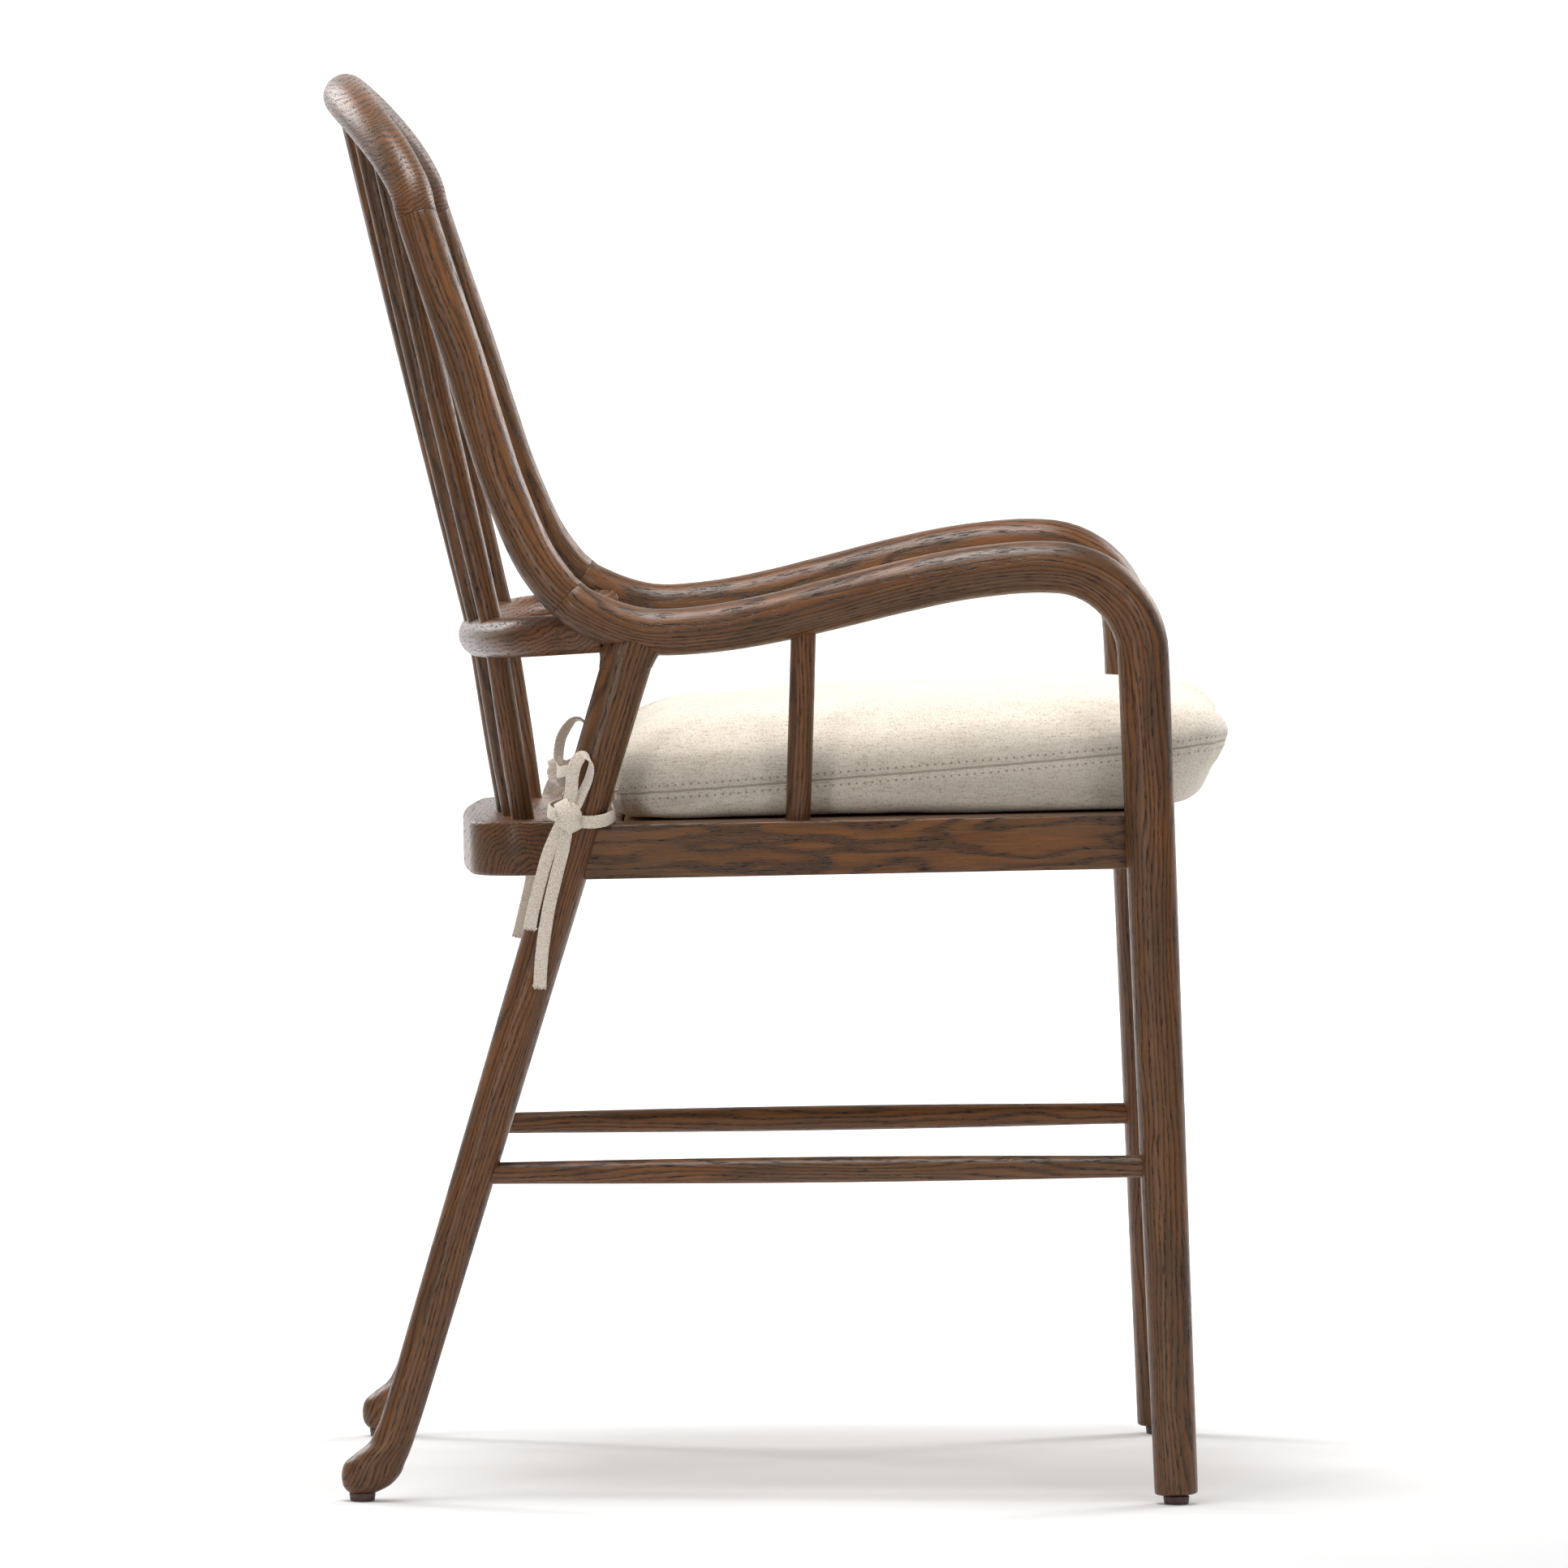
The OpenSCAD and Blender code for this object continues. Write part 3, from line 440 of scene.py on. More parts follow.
def linenCloth(name):
    # washed linen twill: beige, with slubs both ways and a faint slanted rib; the seam line and the stitch holes
    # beside it are darkened as painted shade
    s = linenSettings
    material, tree, shader = newMaterial(name)
    place = add(tree, "ShaderNodeTexCoord").outputs["Object"]
    inMm = add(tree, "ShaderNodeVectorMath", {"operation": "SCALE"}, {0: place, "Scale": 1000.0}).outputs[0]

    def pattern(size, detail=3.0, turn=(0, 0, 0)):
        laid = add(tree, "ShaderNodeMapping", links={"Vector": inMm, "Rotation": turn,
                                                     "Scale": tuple(1 / v for v in size)})
        return add(tree, "ShaderNodeTexNoise", links={"Vector": laid.outputs[0], "Scale": 1.0, "Detail": detail}
                   ).outputs["Fac"]

    warp = pattern((s["thread"], 9.0, s["thread"]))
    weft = pattern((9.0, s["thread"], s["thread"]))
    slant = pattern((7.0, 1.2, 1.2), turn=(0.6, 0.5, 0.8))
    speckle = pattern((1.3, 1.3, 1.3), 4.0)
    cloud = pattern((70, 70, 50))
    weave = maths(tree, "ADD", maths(tree, "MULTIPLY", maths(tree, "ADD", warp, weft), 0.28),
                  maths(tree, "ADD", maths(tree, "MULTIPLY", slant, 0.24), maths(tree, "MULTIPLY", speckle, 0.22)))
    colour = ramp(tree, weave, [(0.40, s["dark"]), (0.60, s["light"]), (0.48, s["mid"])])
    colour = mixed(tree, 0.3, colour, ramp(tree, cloud, [(0.3, "#D0C3B0"), (0.7, "#E0D9CD")]))
    # "seam" holds the way round the cushion and the height above its seam, in metres
    seam = add(tree, "ShaderNodeSeparateXYZ",
               links={"Vector": add(tree, "ShaderNodeAttribute", {"attribute_name": "seam"}).outputs["Vector"]})
    roundWay = maths(tree, "MULTIPLY", seam.outputs[0], 1000.0)
    off = maths(tree, "ABSOLUTE", maths(tree, "MULTIPLY", seam.outputs[1], 1000.0))
    # painted shade: the seam's groove and its row of stitch holes get a darker colour
    line = ramp(tree, off, [(0.5, 1.0), (1.5, 0.0)])
    row = ramp(tree, maths(tree, "ABSOLUTE", maths(tree, "SUBTRACT", off, 4.2)), [(0.35, 1.0), (0.95, 0.0)])
    holes = ramp(tree, maths(tree, "PINGPONG", roundWay, s["stitch"] / 2), [(0.5, 1.0), (0.95, 0.0)])
    stitches = maths(tree, "MULTIPLY", row, holes)
    seamShade = maths(tree, "MAXIMUM", maths(tree, "MULTIPLY", line, 0.5), maths(tree, "MULTIPLY", stitches, 0.65))
    # the shade colour painted into the seam and stitch holes
    colour = mixed(tree, seamShade, colour, linear("#756655"))
    tree.links.new(colour, shader.inputs["Base Color"])
    depth = maths(tree, "SUBTRACT", maths(tree, "MULTIPLY", weave, 3.0), maths(tree, "MULTIPLY", seamShade, 1.2))
    bump = add(tree, "ShaderNodeBump", links={"Height": depth, "Strength": 0.6, "Distance": 0.4 * mm})
    tree.links.new(bump.outputs["Normal"], shader.inputs["Normal"])
    setShader(shader, **{"Roughness": 0.92, "IOR": 1.45, "Sheen Weight": 0.2, "Sheen Roughness": 0.5})
    return material


def tapeCloth(name):
    # woven cotton tape: cream, matt, with a fine slanted weave and a few loose fibres
    material, tree, shader = newMaterial(name)
    thread = add(tree, "ShaderNodeAttribute", {"attribute_name": "thread"}).outputs["Vector"]
    inMm = add(tree, "ShaderNodeVectorMath", {"operation": "SCALE"}, {0: thread, "Scale": 1000.0}).outputs[0]
    turned = add(tree, "ShaderNodeMapping", links={"Vector": inMm, "Rotation": (0, 0.8, 0)}).outputs[0]
    rib = add(tree, "ShaderNodeTexWave", {"bands_direction": "X"}, {
        "Vector": turned, "Scale": 0.26, "Distortion": 4.0, "Detail": 2.0, "Detail Scale": 2.0}).outputs["Fac"]
    speckle = add(tree, "ShaderNodeTexNoise", links={"Vector": inMm, "Scale": 1.1, "Detail": 4.0}).outputs["Fac"]
    weave = maths(tree, "ADD", maths(tree, "MULTIPLY", rib, 0.2), maths(tree, "MULTIPLY", speckle, 0.85))
    colour = ramp(tree, weave, [(0.32, "#9F9080"), (0.68, "#DDD4C8"), (0.47, "#C9BCAC")])
    tree.links.new(colour, shader.inputs["Base Color"])
    bump = add(tree, "ShaderNodeBump", links={"Height": weave, "Strength": 0.7, "Distance": 0.4 * mm})
    tree.links.new(bump.outputs["Normal"], shader.inputs["Normal"])
    setShader(shader, **{"Roughness": 0.95, "IOR": 1.45, "Sheen Weight": 0.3, "Sheen Roughness": 0.5})
    return material


def moultedNylon(name):
    # moulded nylon on the glides: dark brown, a fine grain, scuffed paler in random patches
    material, tree, shader = newMaterial(name)
    place = add(tree, "ShaderNodeTexCoord").outputs["Object"]
    grit = add(tree, "ShaderNodeTexNoise", links={"Vector": place, "Scale": 1400.0, "Detail": 3.0}).outputs["Fac"]
    scuff = add(tree, "ShaderNodeTexNoise", links={"Vector": place, "Scale": 180.0, "Detail": 4.0}).outputs["Fac"]
    colour = ramp(tree, scuff, [(0.4, "#33201C"), (0.75, "#5A4038")])
    tree.links.new(colour, shader.inputs["Base Color"])
    bump = add(tree, "ShaderNodeBump", links={"Height": grit, "Strength": 0.3, "Distance": 0.1 * mm})
    tree.links.new(bump.outputs["Normal"], shader.inputs["Normal"])
    setShader(shader, **{"Roughness": 0.48, "IOR": 1.53})
    return material


def zincSteel(name):
    # zinc-plated steel on screws and nails: grey, with a faint mottled gloss
    material, tree, shader = newMaterial(name)
    place = add(tree, "ShaderNodeTexCoord").outputs["Object"]
    spangle = add(tree, "ShaderNodeTexNoise", links={"Vector": place, "Scale": 900.0, "Detail": 3.0}).outputs["Fac"]
    tree.links.new(ramp(tree, spangle, [(0.3, "#7C8084"), (0.7, "#B4B7BA")]), shader.inputs["Base Color"])
    tree.links.new(maths(tree, "ADD", 0.28, maths(tree, "MULTIPLY", spangle, 0.2)), shader.inputs["Roughness"])
    setShader(shader, **{"Metallic": 1.0})
    return material


ash = stainedAsh("stained ash, satin lacquer")
# this paler copy holds painted sheen, not wear
ashPaintedSheen = stainedAsh("stained ash, paler with painted sheen", 0.10)
linenMaterial = linenCloth("washed linen twill")
tapeMaterial = tapeCloth("cotton tape")
nylonMaterial = moultedNylon("moulded nylon")
steelMaterial = zincSteel("zinc-plated steel")
beechMaterial = rawWood("raw beech", "#D2B185", "#B9925F", "Y", 1.6)
plyMaterial = rawWood("raw birch plywood", "#C6A373", "#A98656", "X", 2.2)
print("materials made")

# the two tapes and the knot at each rear leg; the far bow sits further round its leg
for sideName, side, tie in (("right", -1, rightTie), ("left", 1, leftTie)):
    tape("tieOuter_" + sideName, tie["outer"], tie["outerFaces"], side, tapeMaterial, ["tie_outer_" + sideName])
    tape("tieInner_" + sideName, tie["inner"], tie["innerFaces"], side, tapeMaterial, ["tie_inner_" + sideName])
print("ties laid")


def tieKnot(sideName, side, knotAt):
    # a rounded lump with one band drawn slantwise over it
    centre = (tieBase + Vector(knotAt)) * mm
    centre.x *= side
    bm = bmesh.new()
    thread = bm.verts.layers.float_vector.new("thread")
    bmesh.ops.create_icosphere(bm, subdivisions=4, radius=1)
    bmesh.ops.scale(bm, vec=(6.0 * mm, 9.0 * mm, 9.5 * mm), verts=bm.verts)
    for v in bm.verts:
        v.co *= 1 + 0.12 * noise.noise(v.co * 260)
        v[thread] = v.co * 1.0
    turn = Matrix.Rotation(0.45, 4, "X")
    bmesh.ops.transform(bm, matrix=Matrix.Translation(centre) @ turn, verts=bm.verts)
    for f in bm.faces:
        f.smooth = True
    band = bmesh.new()
    layer = band.verts.layers.float_vector.new("thread")
    ring = bmesh.ops.create_circle(band, cap_ends=False, radius=1, segments=12)["verts"]
    for v in ring:
        flat = tapeProfile(v.co)
        v.co = Vector((9.2 * mm + flat.y * 0.9 * mm, 0, flat.x * 5.0 * mm))
        v[layer] = (flat.x * 5.0 * mm, flat.y * 0.9 * mm, 0)
    spun = bmesh.ops.spin(band, geom=list(band.verts) + list(band.edges), cent=(0, 0, 0), axis=(0, 0, 1),
                          angle=2 * math.pi, steps=40, use_merge=True, use_duplicate=False)
    bmesh.ops.remove_doubles(band, verts=band.verts, dist=0.01 * mm)
    for v in band.verts:
        v[layer] = (v.co.z, 0, abs(math.atan2(v.co.y, v.co.x)) * 9 * mm)
    bmesh.ops.scale(band, vec=(0.86, 1.12, 1), verts=band.verts)
    slant = Matrix.Rotation(1.1, 4, "X")
    bmesh.ops.transform(band, matrix=Matrix.Translation(centre) @ slant, verts=band.verts)
    bmesh.ops.recalc_face_normals(band, faces=band.faces)
    for f in band.faces:
        f.smooth = True
    held = bpy.data.meshes.new("bandOnly")
    band.to_mesh(held)
    band.free()
    bm.from_mesh(held)
    return finishMesh(bm, "tieKnot_" + sideName, tapeMaterial, ["tie_knot_" + sideName])


tieKnot("right", -1, rightTie["knot"])
tieKnot("left", 1, leftTie["knot"])


# ---- the hoop: crest, posts, arms and front legs, bent on one line ----
def crestRow(a):
    s, k = math.sin(math.radians(a)), max(0.0, math.cos(math.radians(a)))
    return (c["crestWidth"] / 2 * s, crestY - c["crestSweep"] * s * s, crestEnd.z + c["crestArch"] * k ** 1.25,
            lerp(c["crestRadius"], c["postRadius"], s * s))


def postRow(across, up):
    return (lerp(postFoot.x, crestEnd.x, up), lerp(postFoot.y, crestEnd.y, across),
            lerp(postFoot.z, crestEnd.z, up), lerp(c["armRearRadius"] - 1, c["postRadius"], up))


def armRow(g):
    return (lerp(knuckle.x, frontX, g) + 4 * math.sin(math.pi * g), lerp(rearY, frontY, g),
            lerp(knuckle.z - 1, armZ, ease((g - 0.05) / 0.75)),
            lerp(c["armRearRadius"], c["armRadius"], ease(g / 0.5)))


def bendRow(a):
    s, k = math.sin(math.radians(a)), math.cos(math.radians(a))
    return (frontX, frontY + c["bendRadius"] * (1 - s), armZ - c["bendRadius"] * (1 - k), c["armRadius"])


def legRow(f):
    p = bendFoot.lerp(frontFoot, f)
    return (p.x, p.y, p.z, lerp(c["armRadius"], c["footRadius"], f))


def hoopRows():
    r = c["armRearRadius"]
    half = [crestRow(90 * i / crestSteps) for i in range(crestSteps + 1)]
    half += [postRow(*pair) for pair in postShape]
    half += [(*postFoot, r - 1), (*(knuckle + Vector((-1, 33, 14))), r - 0.7),
             (*(knuckle + Vector((0, 9, 3.4))), r), (*(knuckle + Vector((0.6, -17, -1))), r)]
    half += [armRow(g) for g in (0.16, 0.27, 0.39, 0.51, 0.63, 0.74)]
    half += [bendRow(a) for a in range(0, 91, 18)]
    half += [legRow(f) for f in (0.12, 0.4, 0.7, 0.93, 0.986, 0.9965)]
    half += [(*frontFoot, c["footRadius"] - 1.5)]
    other = [(-row[0], *row[1:]) for row in half[:0:-1]]
    return other + half, len(half) - 1


hoop, middle = hoopRows()
crestT = middle + crestSteps
kneeT = crestT + len(postShape) + 1
hoopT = len(hoop) - 1


def bentStick(name, rows, start, stop, up, seed, nodes, material=ash, spacing=7.0, sides=32, ease0=0.5,
              ease1=0.5, grainOf=None):
    # a round stick bent along the rows; ease0 and ease1 round its two ends, in mm
    stations = []
    fine = 400
    ts = [lerp(start, stop, n / fine) for n in range(fine + 1)]
    walked = [0.0]
    for a, b in zip(ts, ts[1:]):
        walked.append(walked[-1] + (pointOn(rows, b) - pointOn(rows, a)).length)
    total = walked[-1]
    wanted = [0.0, ease0 * 0.3, ease0]
    wanted += [lerp(ease0, total - ease1, n / max(4, round(total / spacing)))
               for n in range(1, max(4, round(total / spacing)))]
    wanted += [total - ease1, total - ease1 * 0.3, total]
    rings, distances = [], []
    k = 0
    for d in wanted:
        while k < fine - 1 and walked[k + 1] < d:
            k += 1
        t = lerp(ts[k], ts[k + 1], (d - walked[k]) / max(1e-9, walked[k + 1] - walked[k]))
        row = onCurve(rows, t)
        along = headingOn(rows, t)
        u = along.cross(Vector(up)).normalized()
        v = along.cross(u)
        r = row[3]
        for gap, rounding in ((d, ease0), (total - d, ease1)):
            if gap < rounding:
                r -= rounding * (1 - math.sqrt(max(0.0, 1 - (1 - gap / rounding) ** 2)))
        centre = Vector(row[:3])
        rings.append((ringMatrix(centre * mm, u, v, along, r * mm, r * mm), (r * mm, r * mm)))
        distances.append(d * mm)
    bm = bmesh.new()
    loftRings(bm, rings, sides, distances, seed, "grain")
    if grainOf:
        layer = bm.verts.layers.float_vector["grain"]
        for v in bm.verts:
            v[layer] = grainOf(v.co)
    return finishMesh(bm, name, material, nodes)


def sawnCrest(co):
    # the crest is sawn, not bent: its grain runs straight across the chair
    return (co.y * 0.55 + co.z * 0.83 + 0.31, co.y * 0.83 - co.z * 0.55, co.x + 0.4)


def sawnLumbar(co):
    return (co.z + 0.02, co.y + 0.05, co.x + 0.9)


def mirrorRows(rows):
    return [(-row[0], *row[1:]) for row in rows]


bentStick("crestRail", hoop, middle - crestSteps, crestT, (0, 0.83, -0.55), (0, 0, 0), ["crest_rail"],
          grainOf=sawnCrest)
lumbarHalf = [(0, 105, -10.5), (0.247, 103.5, -10.2), (0.473, 99.5, -9.3), (0.679, 91, -7.7),
              (0.829, 77, -5.9), (0.9, 61, -4.5), (0.93, 41, -3), (0.966, 17, -1.2)]
lumbar = [(knuckle.x * x, rearY + y, knuckle.z + z, c["lumbarRadius"]) for x, y, z in lumbarHalf]
lumbar = [(-row[0], *row[1:]) for row in lumbar[:0:-1]] + lumbar
lumbarMid = len(lumbarHalf) - 1
lumbarEnd = len(lumbar) - 1
bentStick("lumbarRail", lumbar, 0, lumbarEnd, (0, 0, 1), (0, 0, 0), ["lumbar_rail"], grainOf=sawnLumbar,
          ease0=1.2, ease1=1.2)
otherHoop = mirrorRows(hoop)
for sideName, rows, seed in (("right", otherHoop, 0.0), ("left", hoop, 0.37)):
    bentStick("backPost_" + sideName, rows, crestT, kneeT, (1, 0, 0), (0.004, seed, 0.7 + seed),
              ["back_post_" + sideName])
    bentStick("armAndFrontLeg_" + sideName, rows, kneeT, hoopT, (1, 0, 0), (0.012 + seed / 9, 0.02 + seed, seed),
              ["arm_and_front_leg_" + sideName], ease1=1.4)
print("hoop bent")


# ---- rear legs ----
legTopZ = knuckle.z - 7
ankleZ = 62
footRows = [(46, 1, 13.8, 13.2), (38, 2.2, 14.8, 13.3), (31, 5.8, 17.8, 13.6), (25, 8.6, 19.8, 13.8),
            (18, 9, 19.4, 13.6), (11, 9.6, 16, 12.4), (7.4, 10.6, 11.8, 10.6), (5.6, 11, 8.6, 8.6)]


def rearLegRow(z):
    f = (legTopZ - z) / (legTopZ - ankleZ)
    r = lerp(c["rearLegTop"], c["rearLegAnkle"], f)
    return (z, 0, r, r * lerp(0.84, 0.96, ease(3 * f)))


def rearLeg(sideName, side):
    # the top runs up into the arm with a small flare, like the fillet at the real joint
    rows = [(571, 0, 15.6, 11.2), (566, 0, 18.2, 13.8), (560, 0, 20.4, 14.35), (555, 0, 18.8, 14.45),
            (549, 0, 17.6, 14.45), (540, 0, 17.0, 14.4)]
    rows += [rearLegRow(lerp(legTopZ, ankleZ, f)) for f in (0.33, 0.66, 0.9, 1)] + footRows
    steps = 10
    rings, distances = [], []
    for n in range((len(rows) - 1) * steps + 1):
        z, kick, halfY, halfX = onCurve(rows, n / steps)
        centre = rearLegAt(z)
        centre.x *= side
        centre.y += kick
        rings.append((ringMatrix(centre * mm, Vector((1, 0, 0)), Vector((0, -1, 0)), Vector((0, 0, -1)),
                                 halfX * mm, halfY * mm), (halfX * mm, halfY * mm)))
        distances.append((legTopZ - z) * 1.045 * mm)
    bm = bmesh.new()
    loftRings(bm, rings, 32, distances, (0.02 * side, 0.11, 0.2 + 0.17 * side), "grain")
    return finishMesh(bm, "rearLeg_" + sideName, ash, ["rear_leg_" + sideName])


for sideName, side in (("right", -1), ("left", 1)):
    rearLeg(sideName, side)


# ---- spindles, stretchers and arm supports ----
def findX(rows, x, low, high):
    for _ in range(40):
        half = (low + high) / 2
        if pointOn(rows, half).x < x:
            low = half
        else:
            high = half
    return low


def onHalf(rows, x, low, high):
    p = pointOn(rows, findX(rows, abs(x), low, high))
    return Vector((math.copysign(p.x, x) if x else 0.0, p.y, p.z))


def turnedStick(name, a, b, startCut, stopCut, endRadius, swell, straight, seed, nodes, material=ash):
    length = (b - a).length
    along = (b - a).normalized()
    rows = []
    count = 14
    for n in range(count + 1):
        d = lerp(startCut, length - stopCut, n / count)
        f = (d - startCut - straight) / (length - startCut - stopCut - 2 * straight)
        r = endRadius + swell * math.sin(math.pi * max(0, min(1, f)))
        rows.append((*(a + along * d), r))
    up = (1, 0, 0) if abs(along.x) < 0.7 else (0, 0, 1)
    return bentStick(name, rows, 0, count, up, seed, nodes, material, spacing=12, sides=24, ease0=0.3, ease1=0.3)


random.seed(7)
for n in range(1, 8):
    place = n - 4
    low = onHalf(lumbar, 55 * place, lumbarMid, lumbarEnd)
    high = onHalf(hoop, 42 * place, middle, crestT)
    foot = framePoint(50 * place, 421.7 - (50 * place) ** 2 / 1750, 0)
    turnedStick("backSpindle_%d" % n, low, high, 4.4, 6, 7.5, 0.8, 13, (random.random(), random.random(), n),
                ["back_spindle_%d" % n])
    turnedStick("lowerSpindle_%d" % n, foot, low, -15.9, 4.4, 7.5, 0.4, 20, (random.random(), random.random(), n),
                ["lower_spindle_%d" % n])

for sideName, side in (("right", -1), ("left", 1)):
    wing = Matrix.Scale(side, 3, (1, 0, 0))
    f = (bendFoot.z - 222) / (bendFoot.z - frontFoot.z)
    front = bendFoot.lerp(frontFoot, f)
    turnedStick("stretcher_" + sideName, wing @ rearLegAt(216), wing @ front, 4, 4, 7.2, 1.4, 16,
                (0.3, 0.1, side * 0.4), ["stretcher_" + sideName])
    armPlace = next(t for t in [lerp(kneeT, hoopT, n / 4000) for n in range(4001)]
                    if pointOn(hoop, t).y < frontY + 222.5)
    top = pointOn(hoop, armPlace)
    low = framePoint(233, 226.5, 0)
    turnedStick("armSupport_" + sideName, wing @ low, wing @ top, -15.9, 8.3, 8.2, 0.15, 10,
                (0.7, 0.3, side * 0.2), ["arm_support_" + sideName])
print("sticks turned")


# ---- sitting frame ----
frameSettings = {"outer": 251, "railWidth": 46, "frontWidth": 26, "boardWidth": 376, "boardDepth": 83,
                 "rearRailWidth": 26, "corner": 38, "bow": 7, "edge": 2.6}
railMid = c["frameHeight"] - c["railHeight"] / 2
frontLegAxis = bendFoot.lerp(frontFoot, (bendFoot.z - railMid) / (bendFoot.z - frontFoot.z))
frontRailY = frontLegAxis.y - frontY
frontRailBack = frontRailY + frameSettings["frontWidth"] / 2
boardY = rearLegAt(railMid).y - frontY - 5
innerX = frameSettings["outer"] - frameSettings["railWidth"]


def grainAlong(axis, seed):
    # which way the grain runs, and where in the tree the board was
    if axis == "Y":
        return lambda co: (co.z + seed, co.x + seed * 3, co.y + seed)
    return lambda co: (co.z + seed, co.y + seed * 3, co.x + seed)


def edgesAlong(bm, keep):
    return [e for e in bm.edges if keep(e)]


def frameBoard(name, low, high, axis, seed, nodes, edge=None, material=ash):
    f = frameSettings
    bm = bmesh.new()
    bmesh.ops.create_cube(bm, size=1)
    size = [(b - a) * mm for a, b in zip(low, high)]
    middlePoint = [(a + b) / 2 * mm for a, b in zip(low, high)]
    bmesh.ops.scale(bm, vec=size, verts=bm.verts)
    bmesh.ops.translate(bm, vec=middlePoint, verts=bm.verts)
    bmesh.ops.bevel(bm, geom=bm.edges[:], offset=(edge or f["edge"]) * mm, offset_type="OFFSET", segments=4,
                    profile=0.5, affect="EDGES", material=-1)
    return finishBoard(bm, name, axis, seed, nodes, material)


def finishBoard(bm, name, axis, seed, nodes, material):
    layer = bm.verts.layers.float_vector.new("grain")
    grain = grainAlong(axis, seed) if isinstance(axis, str) else axis
    for v in bm.verts:
        v[layer] = grain(v.co)
    bmesh.ops.transform(bm, matrix=frameMatrix(), verts=bm.verts)
    for face in bm.faces:
        face.smooth = True
    sharpen(bm)
    return finishMesh(bm, name, material, nodes)


def sharpen(bm, degrees=40):
    for e in bm.edges:
        if len(e.link_faces) == 2 and e.calc_face_angle(0) > math.radians(degrees):
            e.smooth = False


h = c["railHeight"]
for sideName, side in (("right", -1), ("left", 1)):
    xs = sorted((side * innerX, side * frameSettings["outer"]))
    frameBoard("sideRail_" + sideName, (xs[0], frontRailBack, -h), (xs[1], boardY, 0), "Y", 0.05 * side,
               ["side_rail_" + sideName])
reach = frontLegAxis.x - 11
frameBoard("frontRail", (-reach, frontRailY - 13, -h), (reach, frontRailBack, 0), "X", 0.21, ["front_rail"])
frameBoard("rearRail", (-innerX, boardY - 26, -h), (innerX, boardY, 0), "X", 0.33, ["rear_rail"], edge=0.8)


def rearBoard():
    # a wide board with rounded rear corners; its end grain shows in arcs at both ends
    f = frameSettings
    half, back = f["boardWidth"] / 2, boardY + f["boardDepth"]
    outline = [(half, boardY)]
    for n in range(13):
        a = math.radians(90 * n / 12)
        outline.append((half - f["corner"] + f["corner"] * math.cos(a),
                        back - f["bow"] - f["corner"] + f["corner"] * math.sin(a)))
    for n in range(1, 13):
        outline.append(((half - f["corner"]) * (1 - n / 12), back - f["bow"] * (1 - n / 12) ** 2))
    outline += [(-x, y) for x, y in outline[-2::-1]]
    bm = bmesh.new()
    verts = [bm.verts.new((x * mm, y * mm, -h * mm)) for x, y in outline]
    floorFace = bm.faces.new(verts)
    made = bmesh.ops.extrude_face_region(bm, geom=[floorFace])["geom"]
    top = [g for g in made if isinstance(g, bmesh.types.BMVert)]
    bmesh.ops.translate(bm, vec=(0, 0, h * mm), verts=top)
    bmesh.ops.recalc_face_normals(bm, faces=bm.faces)
    rims = edgesAlong(bm, lambda e: abs(e.verts[0].co.z - e.verts[1].co.z) < 1e-6)
    bmesh.ops.bevel(bm, geom=rims, offset=3.2 * mm, offset_type="OFFSET", segments=4, profile=0.5,
                    affect="EDGES", material=-1)
    middleY = (boardY + back) / 2 * mm
    return finishBoard(bm, "rearBoard", lambda co: (co.z - 0.016, co.y - middleY + 0.004, co.x + 0.3),
                       0, ["rear_board"], ash)


rearBoard()
for name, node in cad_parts.items():
    if name.startswith(("panel_cleat", "corner_block", "crest_dowels", "knuckle_dowels", "board_dowels")):
        material = beechMaterial
    elif name == "seat_panel":
        material = plyMaterial
    elif name in ("frame_screws", "glide_nails"):
        material = steelMaterial
    else:
        continue
    for holder in node.material_slots:
        holder.material = material
    if not node.material_slots:
        node.data.materials.append(material)
print("frame built")


# ---- glides ----
def glide(name, x, y, node):
    # a shallow disc with a rounded rim and a dished hole for its nail
    bm = bmesh.new()
    bmesh.ops.create_circle(bm, cap_ends=True, cap_tris=False, radius=8.0 * mm, segments=40)
    made = bmesh.ops.extrude_face_region(bm, geom=bm.faces[:])["geom"]
    top = [g for g in made if isinstance(g, bmesh.types.BMVert)]
    bmesh.ops.translate(bm, vec=(0, 0, 5.5 * mm), verts=top)
    bmesh.ops.scale(bm, vec=(8.75 / 8, 8.75 / 8, 1), verts=top)
    bottom = [f for f in bm.faces if all(abs(v.co.z) < 1e-6 for v in f.verts)]
    bmesh.ops.inset_region(bm, faces=bottom, thickness=4.5 * mm)
    dish = [f for f in bm.faces if all(abs(v.co.z) < 1e-6 and v.co.to_2d().length < 4.6 * mm for v in f.verts)]
    bmesh.ops.translate(bm, vec=(0, 0, 1.0 * mm), verts=dish[0].verts)
    rims = edgesAlong(bm, lambda e: e.calc_length() < 1.6 * mm and abs(e.verts[0].co.z - e.verts[1].co.z) < 1e-6
                      and e.verts[0].co.to_2d().length > 7 * mm)
    bmesh.ops.bevel(bm, geom=rims, offset=0.7 * mm, offset_type="OFFSET", segments=3, profile=0.5,
                    affect="EDGES", material=-1)
    bmesh.ops.recalc_face_normals(bm, faces=bm.faces)
    bmesh.ops.translate(bm, vec=(x * mm, y * mm, 0), verts=bm.verts)
    for f in bm.faces:
        f.smooth = True
    sharpen(bm, 35)
    return finishMesh(bm, name, nylonMaterial, [node])


rearGlide = rearLegAt(5.6)
for sideName, side in (("right", -1), ("left", 1)):
    glide("glideFront_" + sideName, side * frontFoot.x, frontFoot.y, "glide_front_" + sideName)
    glide("glideRear_" + sideName, side * rearGlide.x, rearGlide.y + 11, "glide_rear_" + sideName)


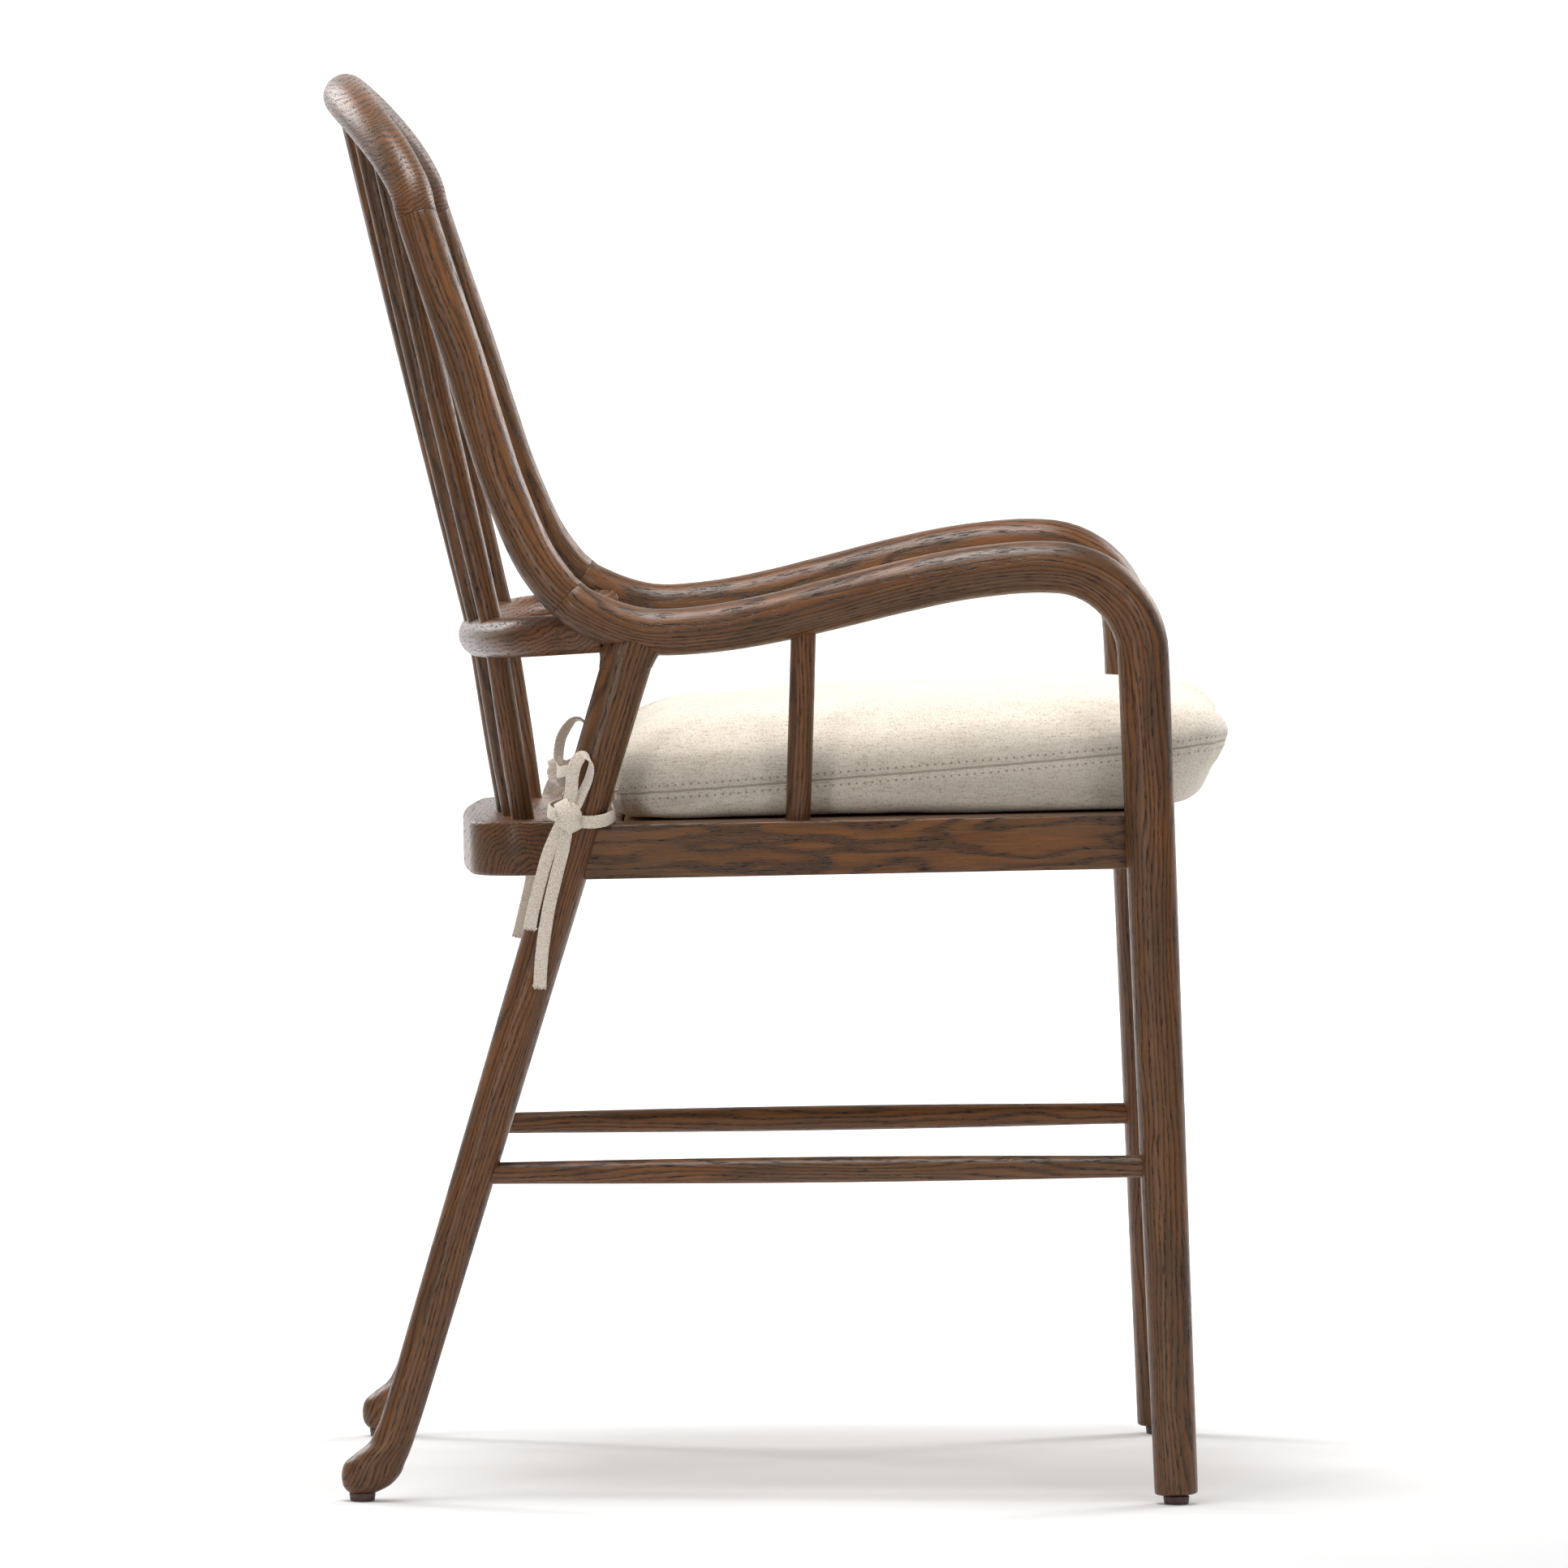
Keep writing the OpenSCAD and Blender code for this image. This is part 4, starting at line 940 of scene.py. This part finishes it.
# ---- cushion ----
cushionSettings = {
    "voxel": 5.5 * mm, "pressure": 4.0, "cap": 5 * mm, "shrink": 3 * mm,
    "edgeHeight": 33,       # mm above the frame, where the cushion is widest
    "seamFront": 46, "seamDrop": 30,    # mm above the frame at the front, and how far it falls to the rear
    # height above the frame, and how far in from the outline, in mm
    "levels": [(0.8, 13), (4, 7), (10, 3), (20, 0.5), (33, 0), (46, 2), (56, 9), (63, 20), (68, 38), (71, 62),
               (73, 95), (74, 135)],
    "groove": 0.9, "pucker": 0.7, "tuck": 36,
}


def cushionOutline(inset):
    frontX_, rearX_ = 226 - inset, 220 - inset
    y0, y1 = inset - 67, boardY - 12 - inset
    rf, rb = 50 - inset / 4, 34 - inset / 4
    corners = [(rearX_ - rb, y1 - rb, rb, 0), (rb - rearX_, y1 - rb, rb, 90),
               (rf - frontX_, y0 + rf, rf, 180), (frontX_ - rf, y0 + rf, rf, 270)]
    points = []
    for x, y, r, a0 in corners:
        for n in range(7):
            a = math.radians(a0 + 15 * n)
            points.append(Vector((x + r * math.cos(a), y + r * math.sin(a), 0)))
    return points


def applyModifiers(piece):
    bpy.context.view_layer.update()
    deps = bpy.context.evaluated_depsgraph_get()
    mesh = bpy.data.meshes.new_from_object(piece.evaluated_get(deps))
    piece.modifiers.clear()
    piece.data = mesh


def cushion():
    s = cushionSettings
    shrink = s["shrink"] / mm
    bm = bmesh.new()
    rings = []
    for z, inset in s["levels"]:
        rise = max(0.0, z - s["edgeHeight"])
        low = min(z, s["edgeHeight"])
        ring = []
        for p in cushionOutline(inset + shrink):
            front = ease((30 - p.y) / 70)
            tall = 1 - 0.2 * ease((p.y - 150) / 190) - 0.3 * front
            tuck = s["tuck"] * front * (1 - low / s["edgeHeight"]) ** 1.5
            ring.append(bm.verts.new((p.x * mm, (p.y + tuck) * mm, (low * (1 + 0.34 * front) + rise * tall) * mm)))
        rings.append([bm.edges.new((a, b)) for a, b in zip(ring, ring[1:] + ring[:1])])
    for a, b in zip(rings, rings[1:]):
        bmesh.ops.bridge_loops(bm, edges=a + b)
    for loop in (rings[0], rings[-1]):
        bmesh.ops.contextual_create(bm, geom=loop)
    bmesh.ops.recalc_face_normals(bm, faces=bm.faces)
    piece = finishMesh(bm, "cushion", linenMaterial, ["cushion_cover", "cushion_foam"])
    remesh = piece.modifiers.new("remesh", "REMESH")
    remesh.mode = "VOXEL"
    remesh.voxel_size = s["voxel"]
    remesh.use_smooth_shade = True
    applyModifiers(piece)
    start = [v.co.copy() for v in piece.data.vertices]
    pins = piece.vertex_groups.new(name="lies on the frame")
    pins.add([v.index for v in piece.data.vertices if v.co.z < 3 * mm], 1.0, "REPLACE")
    cloth = piece.modifiers.new("cloth", "CLOTH")
    cloth.settings.use_pressure = True
    cloth.settings.uniform_pressure_force = s["pressure"]
    cloth.settings.effector_weights.gravity = 0
    cloth.settings.tension_stiffness = 12
    cloth.settings.compression_stiffness = 12
    cloth.settings.bending_stiffness = 0.8
    cloth.settings.vertex_group_mass = "lies on the frame"
    for n in range(1, 21):
        scene.frame_set(n)
    applyModifiers(piece)
    scene.frame_set(1)
    for v, home in zip(piece.data.vertices, start):
        move = v.co - home
        if move.length > s["cap"]:
            v.co = home + move.normalized() * s["cap"]
    print("cushion puffed", len(piece.data.vertices))
    fine = piece.modifiers.new("fine", "SUBSURF")
    fine.levels = fine.render_levels = 1
    applyModifiers(piece)
    shapeCushion(piece)
    return piece


def shapeCushion(piece):
    s = cushionSettings
    outline = cushionOutline(0)
    lengths = [0.0]
    closed = outline + outline[:1]
    for a, b in zip(closed, closed[1:]):
        lengths.append(lengths[-1] + (b - a).length)
    low = 0.6 * mm
    bm = bmesh.new()
    bm.from_mesh(piece.data)
    layer = bm.verts.layers.float_vector.new("seam")
    bm.normal_update()
    for v in bm.verts:
        p = Vector((v.co.x / mm, v.co.y / mm, 0))
        best = None
        for n, (a, b) in enumerate(zip(closed, closed[1:])):
            edge = b - a
            t = max(0.0, min(1.0, (p - a).dot(edge) / edge.length_squared))
            d = (p - (a + edge * t)).length_squared
            if best is None or d < best[0]:
                best = (d, lengths[n] + edge.length * t)
        way = best[1]
        backness = max(0.0, min(1.0, (p.y + 67) / (boardY + 55)))
        seamZ = s["seamFront"] - s["seamDrop"] * backness ** 0.8
        off = v.co.z / mm - seamZ
        side = ease((40 - math.sqrt(best[0])) / 25)
        v[layer] = (way * mm, (off if side > 0.3 else 50) * mm, 0)
        push = -s["groove"] * math.exp(-(off / 2.6) ** 2) * side
        wave = noise.noise(Vector((way / 15, 3.1, 0))) + 0.6 * math.cos(way / 13 * math.pi
                                                                      + 2.5 * noise.noise(Vector((way / 40, 0, 7))))
        push += s["pucker"] * wave * math.exp(-(off / 13) ** 2) * side
        push += 1.6 * noise.noise(Vector((p.x / 60, p.y / 75, 2.2 + v.co.z * 12)))
        push += 0.8 * noise.noise(Vector((p.x / 24, p.y / 30, 9.0 + v.co.z * 20)))
        v.co += v.normal * push * mm
        v.co.z = max(v.co.z, low)
    bmesh.ops.transform(bm, matrix=frameMatrix(), verts=bm.verts)
    for f in bm.faces:
        f.smooth = True
    bm.to_mesh(piece.data)
    bm.free()


cushion()
print("cushion done")


# ---- floor and light ----
def floorSweep():
    # one pale sheet: the floor, and a wall that rises behind it in a wide curve
    bm = bmesh.new()
    first = [bm.verts.new((-14, -9, 0)), bm.verts.new((-14, 9, 0))]
    edge = [bm.edges.new(first)]
    steps = [(16.0, 0)]
    for n in range(1, 13):
        a = math.radians(90 * n / 12)
        b = math.radians(90 * (n - 1) / 12)
        steps.append((3 * (math.sin(a) - math.sin(b)), 3 * (math.cos(b) - math.cos(a))))
    steps.append((0, 6))
    for dx, dz in steps:
        made = bmesh.ops.extrude_edge_only(bm, edges=edge)["geom"]
        edge = [g for g in made if isinstance(g, bmesh.types.BMEdge) and all(v.is_boundary for v in g.verts)]
        fresh = [g for g in made if isinstance(g, bmesh.types.BMVert)]
        edge = [e for e in edge if all(v in fresh for v in e.verts)]
        bmesh.ops.translate(bm, vec=(dx, 0, dz), verts=fresh)
    bmesh.ops.recalc_face_normals(bm, faces=bm.faces)
    for f in bm.faces:
        f.smooth = True
    mesh = bpy.data.meshes.new("floor")
    bm.to_mesh(mesh)
    bm.free()
    floor = bpy.data.objects.new("floor", mesh)
    scene.collection.objects.link(floor)
    material, tree, shader = newMaterial("pale floor")
    setShader(shader, **{"Base Color": linear("#DDDDDD"), "Roughness": 0.9})
    mesh.materials.append(material)


def softbox(name, place, aim, size, power, colour="#FFFFFF"):
    data = bpy.data.lights.new(name, "AREA")
    data.shape = "RECTANGLE"
    data.size, data.size_y = size
    data.energy = power
    data.color = linear(colour)[:3]
    lamp = bpy.data.objects.new(name, data)
    scene.collection.objects.link(lamp)
    lamp.location = place
    lamp.rotation_euler = (Vector(aim) - Vector(place)).to_track_quat("-Z", "Y").to_euler()


floorSweep()
softbox("key", (-0.35, 0.15, 3.0), (0.05, 0.05, 0), (1.2, 1.4), 76)
softbox("washLeft", (1.7, 2.3, 2.3), (4.4, 0.2, 0.4), (1.5, 1.5), 100)
softbox("washRight", (1.7, -2.3, 2.3), (4.4, -0.2, 0.4), (1.5, 1.5), 100)
softbox("rimRear", (2.2, 1.9, 2.0), (0, 0.2, 0.75), (1.4, 1.6), 32)
softbox("rimFront", (2.2, -2.0, 1.6), (0, -0.2, 0.5), (1.2, 1.4), 26)
softbox("strip", (-5.2, 2.6, 1.5), (0, 0, 0.5), (0.7, 2.2), 52)
softbox("fill", (-5.0, -2.4, 2.0), (0, 0, 0.45), (1.5, 1.5), 40)
world = bpy.data.worlds.new("studio")
world.use_nodes = True
world.node_tree.nodes["Background"].inputs["Color"].default_value = (1, 1, 1, 1)
world.node_tree.nodes["Background"].inputs["Strength"].default_value = 0.3
scene.world = world
scene.view_settings.view_transform = "Standard"
print("stage lit")
